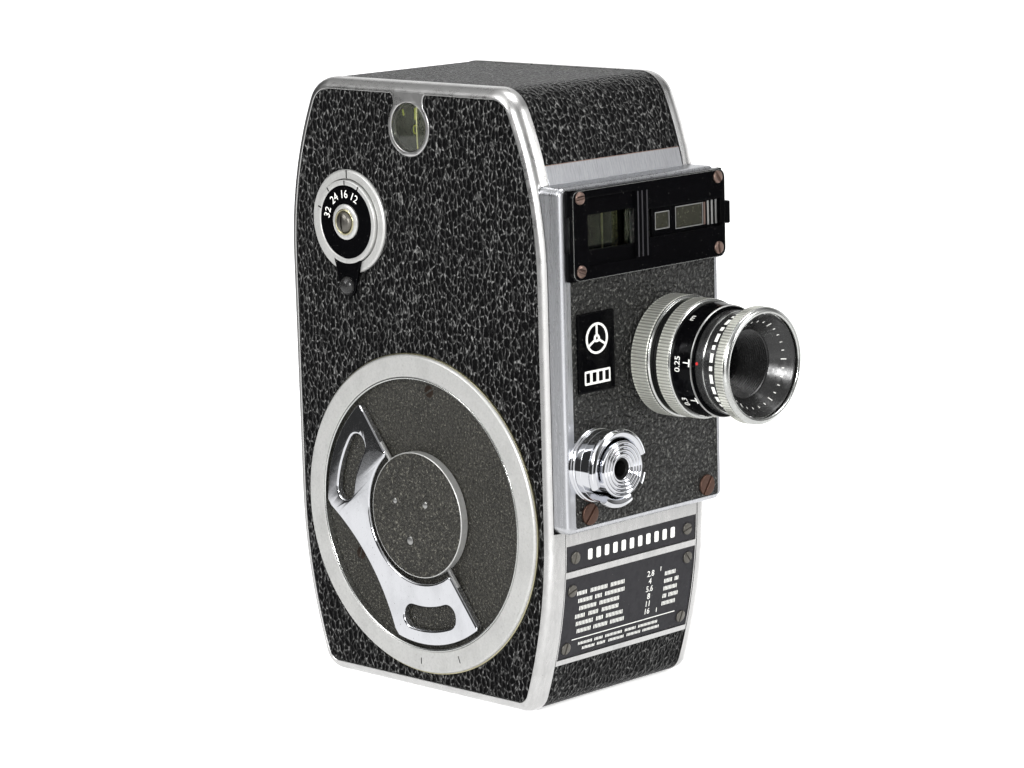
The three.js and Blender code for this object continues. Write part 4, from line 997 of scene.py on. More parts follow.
def add_well():
    outer, inner = RING.half[1], 28.2
    low, high = -RING.high[0], -RING.low[0]
    profile = soften([(inner, low), (outer, low), (outer, high - 0.45), (outer - 0.35, high - 0.05),
                      (inner + 0.2, high)], 0.18)
    place = on_left(WELL_Y, WELL_Z)
    piece("ring_of_the_well", Form(turned(profile, 160), place), SATIN,
          ["winding_ring"])
    lip = soften([(inner - 0.3, low + 0.3), (inner + 0.15, low), (inner + 0.15, high + 0.02),
                  (inner - 0.1, high + 0.05), (inner - 0.3, high - 0.1)], 0.08)
    piece("ring_lip", Form(turned(lip, 160), place), LIP)
    seal = [(outer - 0.05, low), (outer + 0.25, low), (outer + 0.22, high - 0.75), (outer, high - 0.7)]
    piece("ring_seal", Form(turned(seal, 160), place), PALE_BRASS)
    plate_high, hole = -WELL_PLATE.low[0], 9.2
    plate_low, rim = plate_high - 0.3, inner - 0.2
    plate = [(hole, plate_low), (rim, plate_low), (rim, plate_high), (hole, plate_high)]
    piece("well_floor", Form(turned(plate, 128), place), WELL_PAINT, ["well_plate"])
    ticks = Form()
    for y, z, length in ((0.2, WELL_Z - 30.6, 1.3), (-10.9, WELL_Z - 28.6, 1.5)):
        angle = math.degrees(math.atan2(z - WELL_Z, -(y - WELL_Y)))
        radius = math.hypot(y - WELL_Y, z - WELL_Z)
        tick = rectangle(radius - length / 2, radius + length / 2, -0.09, 0.09)
        ticks.add(slab([tick], high - 0.02, high + 0.02), on_left(WELL_Y, WELL_Z, angle))
    piece("ring_marks", ticks, MATT_BLACK)
    screws = Form()
    for y, z, angle in ((-3, 62.8, 30), (18.8, 26.3, 75)):
        screws.add(slotted_head(1.3, plate_high - 0.35, plate_high + 0.03, 0.1, 0.3), on_left(y, z, angle))
    piece("well_screws", screws, DARK_SCREW)


def add_hub():
    radius = HUB.half[1]
    top = -HUB.low[0]
    place = on_left(WELL_Y, WELL_Z)
    foot, step, neck, bore = 21, 23.15, 8.7, 0.5
    wall = soften([(neck, foot), (neck, step), (radius, step), (radius, top - 0.15), (radius - 0.2, top),
                   (radius - 0.3, top - 0.6), (bore, top - 0.6), (bore, foot)], 0.1)
    piece("hub_wall", Form(turned(wall, 96), place), SATIN, ["key_hub"], body="winding")
    face = [(0, top - 0.7), (radius - 0.26, top - 0.7), (radius - 0.26, top - 0.06), (radius - 0.4, top),
            (0, top)]
    piece("hub_face", Form(turned(face, 96), place), WELL_PAINT, body="winding")
    rivets = Form()
    for y, z, size in ((5.8, 39.5, 0.55), (-3, 39.7, 0.7), (1.7, 31.7, 0.85)):
        dome = [(0, top - 0.1), (size, top - 0.1), (size, top + 0.05), (size * 0.7, top + 0.16),
                (0, top + 0.2)]
        rivets.add(turned(dome, 20), on_left(y, z))
    piece("hub_rivets", rivets, STEEL, body="winding")


def key_drawings():
    """Outer drawing and the two kidney slots of the key, around the hub's centre."""
    inner, outer, waist = 14.3, 27.0, 19.0
    bite = 46.5
    reach = waist + bite
    lean = math.degrees(math.acos((outer**2 + reach**2 - bite**2) / (2 * outer * reach)))
    bite_half = math.degrees(math.asin(outer * math.sin(math.radians(lean)) / bite))
    outline = arc(0, 0, outer, -88.6, -lean - 1.5, 16)
    outline += arc(reach, 0, bite, 180 + bite_half - 1.4, 180 - bite_half + 1.4, 24)
    outline += arc(0, 0, outer, lean + 1.5, 88.6, 16)
    outline += [(0.05, outer - 0.5), (0.0, inner + 0.6)]
    outline += arc(0, 0, inner, 87, -87, 36)
    outline += [(0.0, -inner - 0.6), (0.05, -outer + 0.5)]
    slots = []
    for side in (-1, 1):
        middle, half, start, end = 21.5, 2.4, 45.5, 73.0
        if side < 0:
            start, end = -end, -start
        first = (middle * math.cos(math.radians(start)), middle * math.sin(math.radians(start)))
        last = (middle * math.cos(math.radians(end)), middle * math.sin(math.radians(end)))
        slot = arc(0, 0, middle + half, start, end, 10)
        slot += arc(*last, half, end, end + 180, 12)[1:-1]
        slot += arc(0, 0, middle - half, end, start, 10)
        slot += arc(*first, half, start + 180, start + 360, 12)[1:-1]
        slots.append(slot)
    return [outline, *slots]


def crowned(shape, start, end, foot, thinned):
    """A plate in (across, up) that grows thinner beyond start, by a share of its thickness at end."""
    points, faces = shape
    mesh = bmesh.new()
    corners = [mesh.verts.new(p) for p in points]
    for face in faces:
        mesh.faces.new([corners[i] for i in face])
    for level in np.linspace(start, end, 10)[:-1]:
        parts = list(mesh.verts) + list(mesh.edges) + list(mesh.faces)
        bmesh.ops.bisect_plane(mesh, geom=parts, plane_co=(0, level, 0), plane_no=(0, 1, 0))
    mesh.verts.index_update()
    bent = []
    for corner in mesh.verts:
        share = min(max((corner.co.y - start) / (end - start), 0), 1)
        rise = (corner.co.z - foot) * (1 - thinned * share**2)
        bent.append((corner.co.x, corner.co.y, foot + rise))
    made = [[v.index for v in face.verts] for face in mesh.faces]
    mesh.free()
    return bent, made


def add_key():
    key = Span("key_handle")
    place = on_left(WELL_Y, WELL_Z, key_angle(0))
    thick = slab(key_drawings(), -key.high[0], -key.low[0], 0.42, 4, 0.2)
    leaning = crowned(thick, -6, -27, -key.high[0], 0.25)
    piece("key_plate", Form(leaning, place), CHROME, ["key_handle"], body="key", crease=45)


# ---------------------------------------------------------------- speed dial and counter
def add_dial_ring():
    place = on_left(DIAL_Y, DIAL_Z)
    outer = SPEED_RING.half[1]
    low, high = -SPEED_RING.high[0], -SPEED_RING.low[0]
    inner = 8.8
    ring = soften([(inner, low - 0.4), (outer, low - 0.4), (outer, high - 0.35), (outer - 0.35, high),
                   (inner, high)], 0.12)
    piece("dial_ring", Form(turned(ring, 96), place), SATIN, ["speed_ring"])
    notch = slab([rectangle(8.9, outer - 0.1, -0.15, 0.15)], high - 0.01, high + 0.02)
    piece("dial_index", Form(notch, on_left(DIAL_Y, DIAL_Z, 90)), MATT_BLACK)


def add_speed_dial():
    place = on_left(DIAL_Y, DIAL_Z)
    dial = Span("speed_dial")
    foot, top, edge, lever_r = 20, 24.8, 8.6, 2.3
    face = top - 0.2
    rim = soften([(7.5, 23.7), (edge, 23.7), (edge, top - 0.15), (edge - 0.15, top), (7.65, top),
                  (7.5, top - 0.15)], 0.08)
    piece("dial_rim", Form(turned(rim, 96), place), SATIN, body="dial")
    lever_low = DIAL_Z - dial.low[2] - lever_r
    disc = [(0, foot), (2.6, foot), (2.6, 23.6), (7.55, 23.6), (7.55, face), (0, face)]
    form = Form(turned(disc, 96), place)
    lever = [(4.0, -7.4), (-4.0, -7.4)] + arc(0, -lever_low, lever_r, 180, 360, 14)
    form.add(slab([lever], 24.15, 24.72, 0.15), place)
    knob = soften([(0, 24.5), (1.9, 24.5), (1.9, 25.0), (1.6, 25.5), (0.9, 26.0), (0, 26.1)], 0.2,
                  closed=False)
    form.add(turned(knob, 32), place @ Matrix.Translation((0, -lever_low, 0)), kind=1)
    piece("dial_face", form, [GLOSS, CELL_BLACK], ["speed_dial"], body="dial")
    marks = Form()
    for text, angle in (("12", -27), ("16", 4), ("24", 36), ("32", 73)):
        spot = place @ turn(angle) @ Matrix.Translation((0, 5.6, face))
        marks.add(lettering(text, 2.35), spot)
    piece("dial_numbers", marks, PRINT, body="dial")
    ticks = Form()
    for angle in (-29, 0, 38, 71):
        spot = place @ turn(angle)
        ticks.add(slab([rectangle(-0.15, 0.15, 7.6, 8.5)], top - 0.02, top + 0.02), spot)
    piece("dial_ticks", ticks, MATT_BLACK, body="dial")


def add_dial_screw():
    foot, hole = 24.5, 2.1
    place = on_left(DIAL_Y, DIAL_Z)
    dish = soften([(hole, foot), (3.65, foot), (3.65, 24.9), (3.2, 25.1), (2.75, 25.12), (2.5, 24.95),
                   (hole, 24.75)], 0.1)
    piece("dial_dish", Form(turned(dish, 64), place), SATIN, body="dial")
    washer = soften([(2.25, 24.7), (2.75, 24.7), (2.72, 25.2), (2.45, 25.3), (2.25, 25.15)], 0.1)
    piece("dial_washer", Form(turned(washer, 64), place), PALE_BRASS, body="dial")
    head = soften([(0, foot), (2.2, foot), (2.2, 25.1), (1.8, 25.7), (1.1, 26.0), (0, 26.08)], 0.2,
                  closed=False)
    slot = Form(box((-30, DIAL_Y - 0.22, DIAL_Z - 2.5), (-25.6, DIAL_Y + 0.22, DIAL_Z + 2.5)))
    piece("dial_screw", Form(turned(head, 48), place), DULL, ["speed_dial_screw"], body="dial",
          cuts=[slot])


def add_counter():
    radius = COUNTER.half[1]
    place = on_left(COUNTER_Y, COUNTER_Z)
    foot = 22.55
    dome = [(0, foot), (radius, foot), (radius, foot + 0.4), (radius * 0.8, foot + 0.6),
            (radius * 0.4, foot + 0.75), (0, foot + 0.81)]
    piece("counter_window", Form(turned(dome, 48), place), COUNTER_GLASS,
          ["counter_glass"])
    wire = Span("counter_index")
    rod = slab([rectangle(-0.16, 0.16, -4.4, 4.4)], 22.0, 22.35, 0.08)
    piece("counter_wire", Form(rod, on_left(wire.mid[1], COUNTER_Z)), PALE_BRASS,
          ["counter_index"])
    disc = Span("counter_dial")
    disc_y, disc_z, disc_r = disc.mid[1], disc.mid[2], disc.half[2]
    foot, back, face, arbor = 18.6, 20.7, 21.3, 2.4
    profile = [(0, foot), (arbor, foot), (arbor, back), (disc_r, back), (disc_r, face), (0, face)]
    form = Form(turned(profile, 96), on_left(disc_y, disc_z))
    piece("counter_disc", form, MATT_BLACK, ["counter_dial"], body="counter")
    marks = Form()
    feet = 25
    for step in range(feet):
        spot = on_left(disc_y, disc_z, 90 + step * 360 / feet)
        numbered = step % 5 == 0
        tick = rectangle(disc_r - (2.6 if numbered else 1.6), disc_r - 0.4, -0.2, 0.2)
        marks.add(slab([tick], face, face + 0.03), spot)
        if numbered:
            number = lettering(str(step), 2.6)
            marks.add(number, spot @ Matrix.Translation((disc_r - 4.6, 0, face)) @ turn(-90))
    piece("counter_marks", marks, GREEN_CARD, body="counter")


# ---------------------------------------------------------------- viewfinder
def add_finder_plate():
    low, high = -FINDER_PLATE.high[1], -FINDER_PLATE.low[1]
    left, _, base = FINDER_PLATE.low
    right, _, top = FINDER_PLATE.high
    channel = low + 1.05
    drawing = FINDER_PLATE.face(0, 1.8, 8)
    slot = rectangle(MASK.low[0] - 2.2, right - 0.9, MASK.low[2] + 0.5, MASK.high[2] - 0.4, 0.15)
    form = Form(slab([drawing, finder_window(), slot], channel, high, [0.22, 0.1, 0.1]), FRONT)
    for z0, z1 in ((base, MASK.low[2] - 0.2), (MASK.high[2] + 0.2, top)):
        form.add(slab([rectangle(left, right, z0, z1)], low, channel), FRONT)
    piece("finder_front", form, GLOSS, ["finder_plate"], crease=40)
    edge = slab([grown(drawing, 0.1), grown(drawing, 0.24)], high - 0.1, high + 0.012)
    piece("finder_worn_edge", Form(edge, FRONT), LIP)
    screws = Form()
    for x in (left + 2.1, right - 2.25):
        for z, angle in ((base + 1.95, 35), (top - 1.55, 60)):
            screws.add(slotted_head(1.3, high - 0.1, high + 0.42, 0.32, 0.3), on_front(x, z, angle + 3 * x))
    piece("finder_screws", screws, COPPER)


def add_finder_glass():
    low, high = -FINDER_LENS.high[1], -FINDER_LENS.low[1]
    pane = slab([FINDER_LENS.face()], low + 0.9, high, 0.1)
    piece("finder_glass", Form(pane, FRONT), GLASS, ["finder_front_lens"])
    # Painted shade: a matt black card just behind the glass stands in for the dark inside of the finder.
    depth = low - 0.6
    field = slab([FINDER_LENS.face(0.2)], depth - 0.3, depth)
    piece("finder_shade_card", Form(field, FRONT), MATT_BLACK)
    right = FINDER_LENS.high[0] + 0.2
    base, top = FINDER_LENS.low[2] - 0.2, FINDER_LENS.high[2] + 0.2
    strips = Form()
    for start, end, inset, height in ((3.1, 1.9, 0.5, 0.5), (6.2, 5.8, 1, 0.3)):
        strip = rectangle(right - start, right - end, base + inset, top - inset)
        strips.add(slab([strip], depth, depth + height, 0.1), FRONT)
    piece("finder_inner_strips", strips, PALE_BRASS)


def add_finder_rails():
    face = -FINDER_PLATE.low[1]
    rails = Form()
    for x in (-2.4, -1.2, 0.2):
        rail = rectangle(x, x + 0.35, FINDER_LENS.low[2] + 0.6, FINDER_LENS.high[2] - 0.6)
        rails.add(slab([rail], face - 0.1, face + 0.1, 0.06), FRONT)
    piece("finder_rails", rails, SATIN_BLACK)


def add_mask():
    low = -MASK.high[1]
    face = low + 0.6
    right, base, top = MASK.high[0], MASK.low[2], MASK.high[2]
    low_z, high_z = base + 1.1, top - 1
    sheet = [rectangle(MASK.low[0], right - 0.1, base, top), rectangle(4, 8, base + 1.6, top - 1.5),
             rectangle(10, 18.6, low_z, high_z)]
    tab = rectangle(right - 1, right, base + 0.8, top - 1.2, 0.3)
    form = Form(slab(sheet, low, face, 0.05), FRONT).add(slab([tab], low, -MASK.low[1], 0.2), FRONT)
    piece("mask_plate", form, GLOSS, ["finder_mask_slide"], "mask")
    panes = Form()
    for x0, x1, inset in ((3.8, 8.2, 0.35), (9.8, 18.5, -0.1)):
        pane = rectangle(x0, x1, low_z + inset, high_z - inset)
        panes.add(slab([pane], low + 0.05, low + 0.35), FRONT)
    piece("mask_panes", panes, PANE, body="mask")
    frames = Form()
    for x0, x1, inset in ((3.9, 8.1, 0.5), (9.9, 18.2, 0)):
        outline = rectangle(x0, x1, low_z + inset, high_z - inset)
        frames.add(slab([outline, grown(outline, 0.16)], low + 0.3, face + 0.02), FRONT)
    for x in (19.4, 20.6, 21.8):
        ridge = rectangle(x, x + 0.5, low_z - 0.2, high_z + 0.2)
        frames.add(slab([ridge], face - 0.1, face + 0.12, 0.05), FRONT)
    piece("mask_frames", frames, STEEL, body="mask")
    edge = slab([rectangle(18.35, 18.85, low_z, high_z)], low + 0.2, face + 0.05)
    piece("mask_copper_edge", Form(edge, FRONT), COPPER, body="mask")


def add_eyepiece():
    bore, neck, foot, seat = 4.6, 5.2, 33, 36.9
    place = on_back(EYE_X, EYE_Z)
    radius = EYEPIECE.half[0]
    back = EYEPIECE.high[1]
    profile = soften([(bore, foot), (neck, foot), (neck, seat), (radius, seat), (radius, back - 0.4),
                      (radius - 0.4, back), (5.1, back), (bore, back - 0.6)], 0.15)
    piece("eyepiece_ring", Form(turned(profile, 72), place), CHROME, ["finder_eyepiece"])


# ---------------------------------------------------------------- release
def add_release():
    inner, flange, stem, socket, head, foot = 5.9, 7.5, 2.4, 2.1, 5.6, 33
    place = on_front(RELEASE_X, RELEASE_Z)
    base = soften([(inner, 40.2), (flange, 40.2), (flange, 40.7), (7.25, 41.0), (7.4, 41.3), (7.1, 41.6),
                   (inner, 41.6)], 0.12)
    piece("release_flange", Form(turned(base, 72), place), CHROME, ["release_base"])
    low = 41.75
    ring = soften([(inner, low), (7.2, low), (7.2, 43.2), (inner, 43.2)], 0.12)
    collar = Form(turned(ring, 72), place)
    claw = soften([(inner, 43.0), (7.15, 43.0), (7.3, 45.4), (7.9, 46.2), (7.8, 46.9), (7.1, 47.2),
                   (6.2, 47.0), (inner, 46.5)], 0.2)
    for start, end in ((15, 205), (235, 297), (327, 345)):
        collar.add(turned(claw, 60, sweep=(start, end)), place)
    piece("lock_collar", collar, CHROME, ["release_collar"], body="collar")
    steps = [(0, foot), (stem, foot), (stem, 42.2), (head, 42.2), (head, 47.5)]
    for radius in (head, 4.8, 4.0, 3.2):
        steps += [(radius - 0.12, 47.9), (radius - 0.45, 47.9), (radius - 0.6, 47.55)]
    steps += [(2.25, 47.6), (socket, 47.4), (socket, 43.6), (0, 43.6)]
    button = soften(steps, 0.06, closed=False, steps=2)
    piece("release_knob", Form(turned(button, 72), place), CHROME, ["release_button"],
          body="release")
    bore = Form(turned([(1.6, 43.7), (2.09, 43.7), (2.09, 47.35), (1.9, 47.35), (1.6, 47.0)], 40), place)
    piece("release_bore", bore, MATT_BLACK, body="release")


# ---------------------------------------------------------------- lens
def lens_ring(name, profile, material, body, stands_for=(), steps=144, knurl=None, crease=32):
    form = Form(turned(profile, steps, knurl), on_front(LENS_X, LENS_Z))
    piece(name, form, material, stands_for, body, crease)


def round_lens(radius, depth, angle):
    """Mapping from (along, forward, out) to a band of the lens at an angle."""

    def mapping(u, v, h):
        a = math.radians(angle) + u / radius
        return (LENS_X + (radius + h) * math.cos(a), -(depth + v), LENS_Z + (radius + h) * math.sin(a))

    return mapping


def add_lens_mount():
    inner, tube, seat, flange = 6, 7.9, 9, 11.0
    ribs = STEPS_PER_RIB * LENS_RIBS
    barrel = [(inner, 35.4), (tube, 35.4), (tube, 40.6), (seat, 40.6), (seat, 45.75), (flange, 45.75),
              (flange, 47.05), (seat, 47.05), (seat, 55), (tube, 55), (tube, 42), (inner, 42)]
    lens_ring("barrel_body", soften(barrel, 0.08), MATT_BLACK, "camera_body",
              ["lens_barrel"])
    grip = [(RING_BORE, 40.7), (11.95, 40.7), (12.25, 40.95), (12.25, 44.75), (12.05, 45.0),
            (RING_BORE, 45.0)]
    lens_ring("grip_ring", soften(grip, 0.07), NICKEL, "camera_body", ["lens_grip_ring"], ribs,
              (RIB_DEPTH, 41.0, 44.7), KNURL_CREASE)
    edge = [(10.4, 44.95), (12.1, 44.95), (12.22, 45.1), (12.2, 45.45), (11.9, 45.7), (10.4, 45.7)]
    lens_ring("grip_edge", soften(edge, 0.06), LIP, "camera_body")


def add_focus_ring():
    bore, edge_bore = 9.2, 10.8
    ribs = STEPS_PER_RIB * LENS_RIBS
    knurl = [(RING_BORE, 47.15), (11.7, 47.15), (12.0, 47.45), (12.0, 50.35), (11.8, 50.5),
             (RING_BORE, 50.5)]
    lens_ring("focus_knurl", soften(knurl, 0.07), NICKEL, "focus", ["focus_ring"], ribs,
              (RIB_DEPTH, 47.5, 50.3), KNURL_CREASE)
    edge = [(edge_bore, 50.45), (11.85, 50.45), (11.98, 50.58), (11.9, 50.8), (11.7, 50.9),
            (edge_bore, 50.9)]
    lens_ring("focus_edge", soften(edge, 0.06), LIP, "focus")
    band = [(bore, 50.85), (11.45, 50.85), (11.42, 52.6), (11.15, 55.6), (10.9, 55.85), (bore, 55.85)]
    lens_ring("focus_scale", soften(band, 0.1), GLOSS, "focus")
    line = [(10.9, 55.6), (11.19, 55.55), (11.14, 55.72), (10.9, 55.8)]
    lens_ring("scale_edge", line, STEEL, "focus")
    marks = Form()
    numbers = (("m", 126), ("0.25", 176), ("0.3", 218), ("0.4", 252), ("0.5", 280), ("0.7", 306),
               ("1", 330), ("2", 352), ("5", 14), ("10", 36))
    for text, angle in numbers:
        spot = round_lens(11.43, 52.5, angle)
        marks.add(moved(lettering(text, 1.9), lambda u, v, h, spot=spot: spot(-u, -v, h)))
        if text != "m":
            spot = round_lens(11.27, 54.2, angle - 2)
            marks.add(moved(bar(-0.11, 0.11, -0.7, 1.3), spot))
            marks.add(moved(bar(-0.75, 0.75, 0.9, 1.25), round_lens(11.2, 54.2, angle - 2)))
    piece("scale_marks", marks, PRINT, body="focus")


def on_cone(degrees):
    """Mapping from (along, inward, out) to the cone inside the lens's front, at an angle."""
    mouth_r, mouth, narrowing, depth = 9.85, 64.35, 2.85, 3.6

    def mapping(u, v, h):
        share = 0.45 + v / math.hypot(narrowing, depth)
        radius = mouth_r - narrowing * share - h
        a = math.radians(degrees) + u / radius
        return (LENS_X + radius * math.cos(a), depth * share - mouth - h, LENS_Z + radius * math.sin(a))

    return mapping


def add_lens_cell():
    collar = [(7.75, 56.05), (10.3, 56.05), (10.36, 57.75), (10.3, 57.9), (10.1, 58.0), (10.1, 61.75),
              (10.1, 64.5), (9.95, 64.58), (9.8, 64.3), (7.0, 60.75)]
    teeth = []
    for i in range(14):
        radius, depth = 6.8 - 0.14 * i, 60.5 - 0.44 * i
        teeth += [(radius, depth), (radius - 0.02, depth - 0.22), (radius - 0.3, depth - 0.3)]
    inside = teeth + [(4.75, 54.1), (4.75, 47.6), (7.75, 47.6)]
    form_profile = soften(collar, 0.04, closed=False, steps=1) + inside
    lens_ring("cell_body", form_profile, CELL_BLACK, "lens_front", ["lens_cell"], 128)
    line = [(10.0, 57.95), (10.25, 57.98), (10.22, 58.16), (10.0, 58.2)]
    lens_ring("cell_line", line, LIP, "lens_front")
    marks = Form()
    lengths = (1.6, 0.9, 1.3, 0.7, 1.8, 1.1)
    angle = 0.0
    while angle < 345:
        length = lengths[int(angle) % len(lengths)]
        marks.add(moved(bar(0, length, -0.4, 0.4), round_lens(10.1, 60.0, angle)))
        angle += math.degrees((length + 0.75) / 10.1)
    dot = moved(slab([circle(0, 0, 0.32, 16)], 0, 0.05), round_lens(10.33, 56.6, 174))
    piece("cell_marks", marks, PRINT, body="lens_front")
    piece("index_dot", Form(dot), RED, body="lens_front")
    ticks = Form()
    for degrees in range(0, 360, 12):
        reach = 0.55 if degrees % 60 == 0 else 0.25
        ticks.add(moved(bar(-0.09, 0.09, -reach, reach), on_cone(degrees)))
    piece("cone_ticks", ticks, PRINT, body="lens_front")
    glass = Span("front_element")
    r = glass.half[0]
    back, front = -glass.high[1], -glass.low[1]
    crown = [(r * math.cos(t), front - 1.2 + 1.2 * math.sin(t)) for t in np.radians(np.linspace(10, 90, 9))]
    dome = [(0, back), (r, back + 0.8), (r, front - 1.2)] + crown[:-1] + [(0, front)]
    lens_ring("front_glass", dome, LENS_GLASS, "lens_front", ["front_element"], 64)


def add_aperture_ring():
    bore = 10.3
    knurl = [(bore, 62.05), (11.35, 62.05), (11.6, 62.3), (11.6, 64.1), (11.45, 64.3), (bore, 64.3)]
    lens_ring("stop_ring", soften(knurl, 0.06), NICKEL, "aperture", ["aperture_ring"],
              STEPS_PER_RIB * STOP_RIBS, (0.24, 62.35, 64.05), KNURL_CREASE)
    lip = [(bore, 64.2), (11.4, 64.2), (11.6, 64.35), (11.55, 64.65), (11.25, 65.0), (10.8, 65.15),
           (10.4, 65.1), (bore, 64.9)]
    lens_ring("stop_lip", soften(lip, 0.1), LIP, "aperture")


# ---------------------------------------------------------------- film side, door lock, base
def add_spools():
    for node, body in (("feed_spool", "feed"), ("takeup_spool", "takeup")):
        reel = Span(node)
        radius = reel.half[2]
        low, high = reel.low[0], reel.high[0]
        place = on_right(reel.mid[1], reel.mid[2])
        form = Form()
        holes = [circle(0, 0, 2.4, 32)]
        for i in range(3):
            a = math.radians(90 + 120 * i)
            holes.append(circle(17.5 * math.cos(a), 17.5 * math.sin(a), 4.6, 32))
        for start, end in ((low, low + 0.8), (high - 0.8, high)):
            form.add(slab([circle(0, 0, radius, 96), *holes], start, end, 0.15), place)
        core = [(2.4, low + 0.4), (13, low + 0.4), (13, high - 0.4), (2.4, high - 0.4)]
        form.add(turned(core, 64), place)
        piece(node + "_reel", form, SATIN_BLACK, [node], body)


def add_door_lock():
    foot, seat = 20, 22.4
    place = on_right(LATCH_Y, LATCH_Z)
    radius = LATCH.half[1]
    face = 23.3
    disc = soften([(0, foot), (3, foot), (3, seat), (radius, seat), (radius, face - 0.1),
                   (radius - 0.15, face), (radius - 1.2, face), (radius - 1.4, face - 0.3),
                   (0, face - 0.3)], 0.08, closed=False)
    form = Form(turned(disc, 80), place)
    form.add(slab([rectangle(-1.6, 1.6, -7.4, 7.4, 1.5)], face - 0.4, 25, 0.35), place)
    form.add(slab([rectangle(-3, 3, -3, 3, 1)], 19.9, 21.1, 0.15), place)
    piece("lock_knob", form, CHROME, ["door_latch"], body="latch")


def add_tripod_plate():
    low, high = TRIPOD.low, TRIPOD.high
    centre_y = low[1] + 10
    place = BASE @ Matrix.Translation((0, -centre_y, 0))
    loops = [rectangle(low[0], high[0], -(high[1] - centre_y), centre_y - low[1], 1.2),
             circle(0, 0, 4.7, 48)]
    form = Form(slab(loops, -1.4, 0, [0.2, 0.4]), place)
    crest, root, boss, pitch = 4.35, 4.7, 7.6, 0.8
    mouth, floor, foot = -1.2, -7.7, -9.0
    thread = [(0, foot), (boss, foot), (boss, mouth), (root, mouth)]
    depth = mouth
    while depth > floor + 0.5:
        thread += [(crest, depth - pitch / 2), (root, depth - pitch)]
        depth -= pitch
    thread += [(root, floor), (0, floor)]
    form.add(turned(thread[::-1], 48), place)
    screws = Form()
    for offset in (-7.5, 17):
        screws.add(slotted_head(1.5, -0.3, 0.0, 0.1, 0.35),
                   BASE @ Matrix.Translation((0, -(centre_y + offset), 0)))
    piece("socket_plate", form, STEEL, ["tripod_plate"])
    piece("socket_screws", screws, COPPER)


# ---------------------------------------------------------------- stage
def add_camera():
    """The photograph's viewpoint, from the key side of the front and a little above."""
    azimuth, elevation, roll = (math.radians(d) for d in (-45.25, 10.26, -1.57))
    distance, shift_right, shift_up = 720.25, 2.84, -1.86
    target = Vector((0, 0, HEIGHT / 2))
    back = Vector((math.sin(azimuth) * math.cos(elevation), -math.cos(azimuth) * math.cos(elevation),
                   math.sin(elevation)))
    right = Vector((math.cos(azimuth), math.sin(azimuth), 0))
    up = back.cross(right)
    rolled_right = right * math.cos(roll) + up * math.sin(roll)
    rolled_up = -right * math.sin(roll) + up * math.cos(roll)
    data = bpy.data.cameras.new("view")
    data.sensor_width = 36
    data.lens = 122.43
    camera = linked("view", data)
    spot = (target + back * distance + rolled_right * shift_right + rolled_up * shift_up) * MM
    rotation = Matrix((rolled_right, rolled_up, back)).transposed().to_4x4()
    camera.matrix_world = Matrix.Translation(spot) @ rotation
    bpy.context.scene.camera = camera


def add_light(name, spot, target, size, power):
    data = bpy.data.lights.new(name, "AREA")
    data.shape = "RECTANGLE"
    data.size, data.size_y = size
    data.energy = power
    light = linked(name, data)
    light.location = spot
    light.visible_camera = False
    light.rotation_euler = (Vector(target) - Vector(spot)).to_track_quat("-Z", "Y").to_euler()


def add_floor():
    """Pale floor that curves up into a round wall, seen by the camera but not mirrored in the metal."""
    paint = Paint("floor", (0.9, 0.9, 0.9), 0.9, Emission_Strength=0.5)
    paint.shader.inputs["Emission Color"].default_value = (1, 1, 1, 1)
    paint.tint(paint.ramp(paint.noise((300, 300, 300), 2), 0.4, 0.7, 0, 0.3), (0.85, 0.85, 0.85))
    radius, bend, wall = 3.0, 1.0, 3.0
    profile = [(radius, 0)] + [(radius + x, bend + y) for x,
                               y in arc(0, 0, bend, -90, 0, 12)] + [(radius + bend, wall)]
    columns = 64
    points = [(0, 0, 0)]
    faces = []
    for i in range(columns):
        a = 2 * math.pi * i / columns
        points += [(r * math.cos(a), r * math.sin(a), z) for r, z in profile]
    rows = len(profile)
    for i in range(columns):
        a, b = 1 + i * rows, 1 + (i + 1) % columns * rows
        faces.append((0, a, b))
        faces += [(a + j, a + j + 1, b + j + 1, b + j) for j in range(rows - 1)]
    data = bpy.data.meshes.new("floor")
    data.from_pydata(points, [], faces)
    data.polygons.foreach_set("use_smooth", [True] * len(faces))
    data.materials.append(paint.material)
    floor = linked("floor", data)
    floor.visible_glossy = False


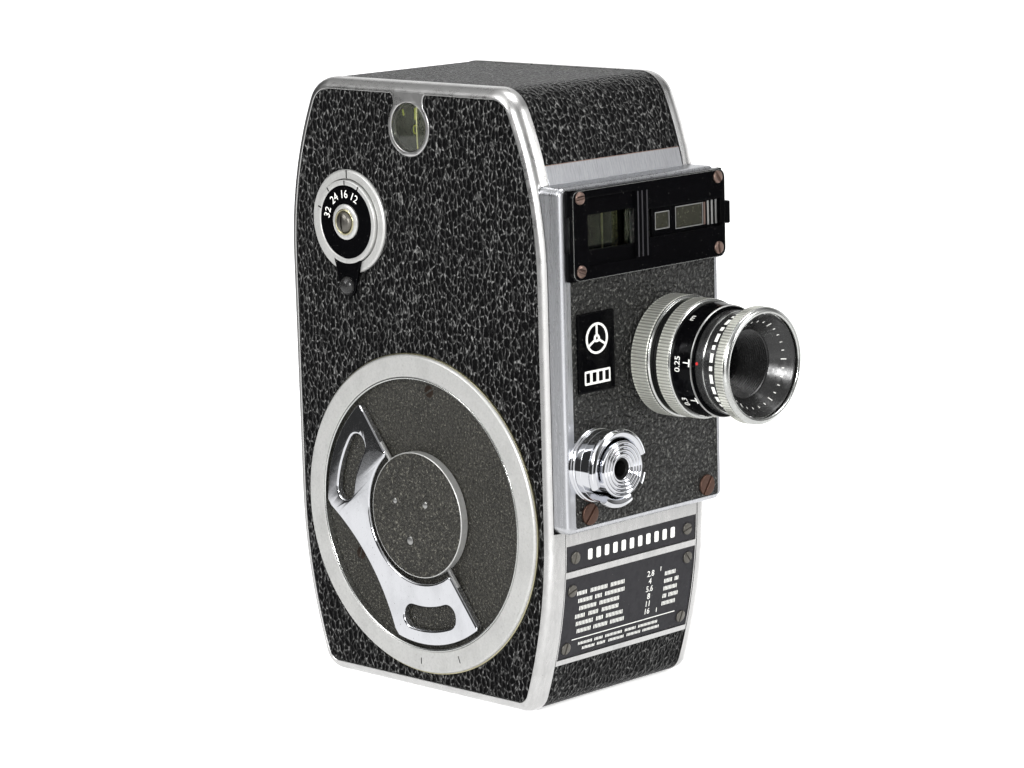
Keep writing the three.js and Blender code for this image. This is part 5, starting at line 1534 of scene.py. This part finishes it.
def add_surroundings():
    """What the metal mirrors: a dim room with a pale table below and soft white glows around."""
    world = bpy.data.worlds.new("studio")
    bpy.context.scene.world = world
    world.use_nodes = True
    nodes = Nodes(world.node_tree)
    direction = nodes.node("ShaderNodeTexCoord").outputs["Generated"]
    glows = (
        ((0, 0, -1), 0.17, 0.205, 0.95),
        ((0, 0, 1), 0.45, 0.95, 0.55),
        ((-0.62, -0.74, 0.05), 0.8, 0.97, 0.7),
        ((-0.7, 0.3, 0.65), 0.85, 0.97, 0.9),
        ((0.5, -0.75, 0.3), 0.85, 0.98, 0.3),
        ((0.84, 0.54, 0.0), 0.72, 0.9, 0.85),
        ((0.98, -0.12, -0.15), 0.88, 0.95, 0.85),
    )
    total = 0.035
    for axis, edge, core, strength in glows:
        dot = nodes.node("ShaderNodeVectorMath", operation="DOT_PRODUCT")
        dot.inputs[1].default_value = Vector(axis).normalized()
        nodes.link(direction, dot.inputs[0])
        glow = nodes.ramp(dot.outputs["Value"], edge, core, 0, strength, interpolation_type="SMOOTHSTEP")
        total = nodes.math("ADD", total, glow)
    background = nodes.tree.nodes["Background"]
    background.inputs["Color"].default_value = (1, 1, 1, 1)
    nodes.link(total, background.inputs["Strength"])


def add_lights():
    target = (0, 0, 0.06)
    add_light("key_light", (-0.85, -0.7, 0.45), target, (0.22, 0.3), 9)
    add_light("side_light", (-0.9, 0.35, 0.6), target, (0.3, 0.4), 3.5)
    add_light("front_light", (0.5, -0.95, 0.45), target, (0.3, 0.5), 4)
    add_light("top_light", (0.2, -0.1, 1.1), target, (0.5, 0.5), 4)
    bpy.context.scene.view_settings.view_transform = "Standard"


for build in (
    add_side_shells, add_leather, add_block, add_fascia, add_badge, add_front_frame, add_plates,
    add_plate_print, add_plate_screws, add_well, add_hub, add_key, add_dial_ring, add_speed_dial,
    add_dial_screw, add_counter, add_finder_plate, add_finder_glass, add_finder_rails, add_mask,
    add_eyepiece, add_release, add_lens_mount, add_focus_ring, add_lens_cell, add_aperture_ring,
    add_spools, add_door_lock, add_tripod_plate, add_camera, add_floor, add_surroundings, add_lights,
):
    build()
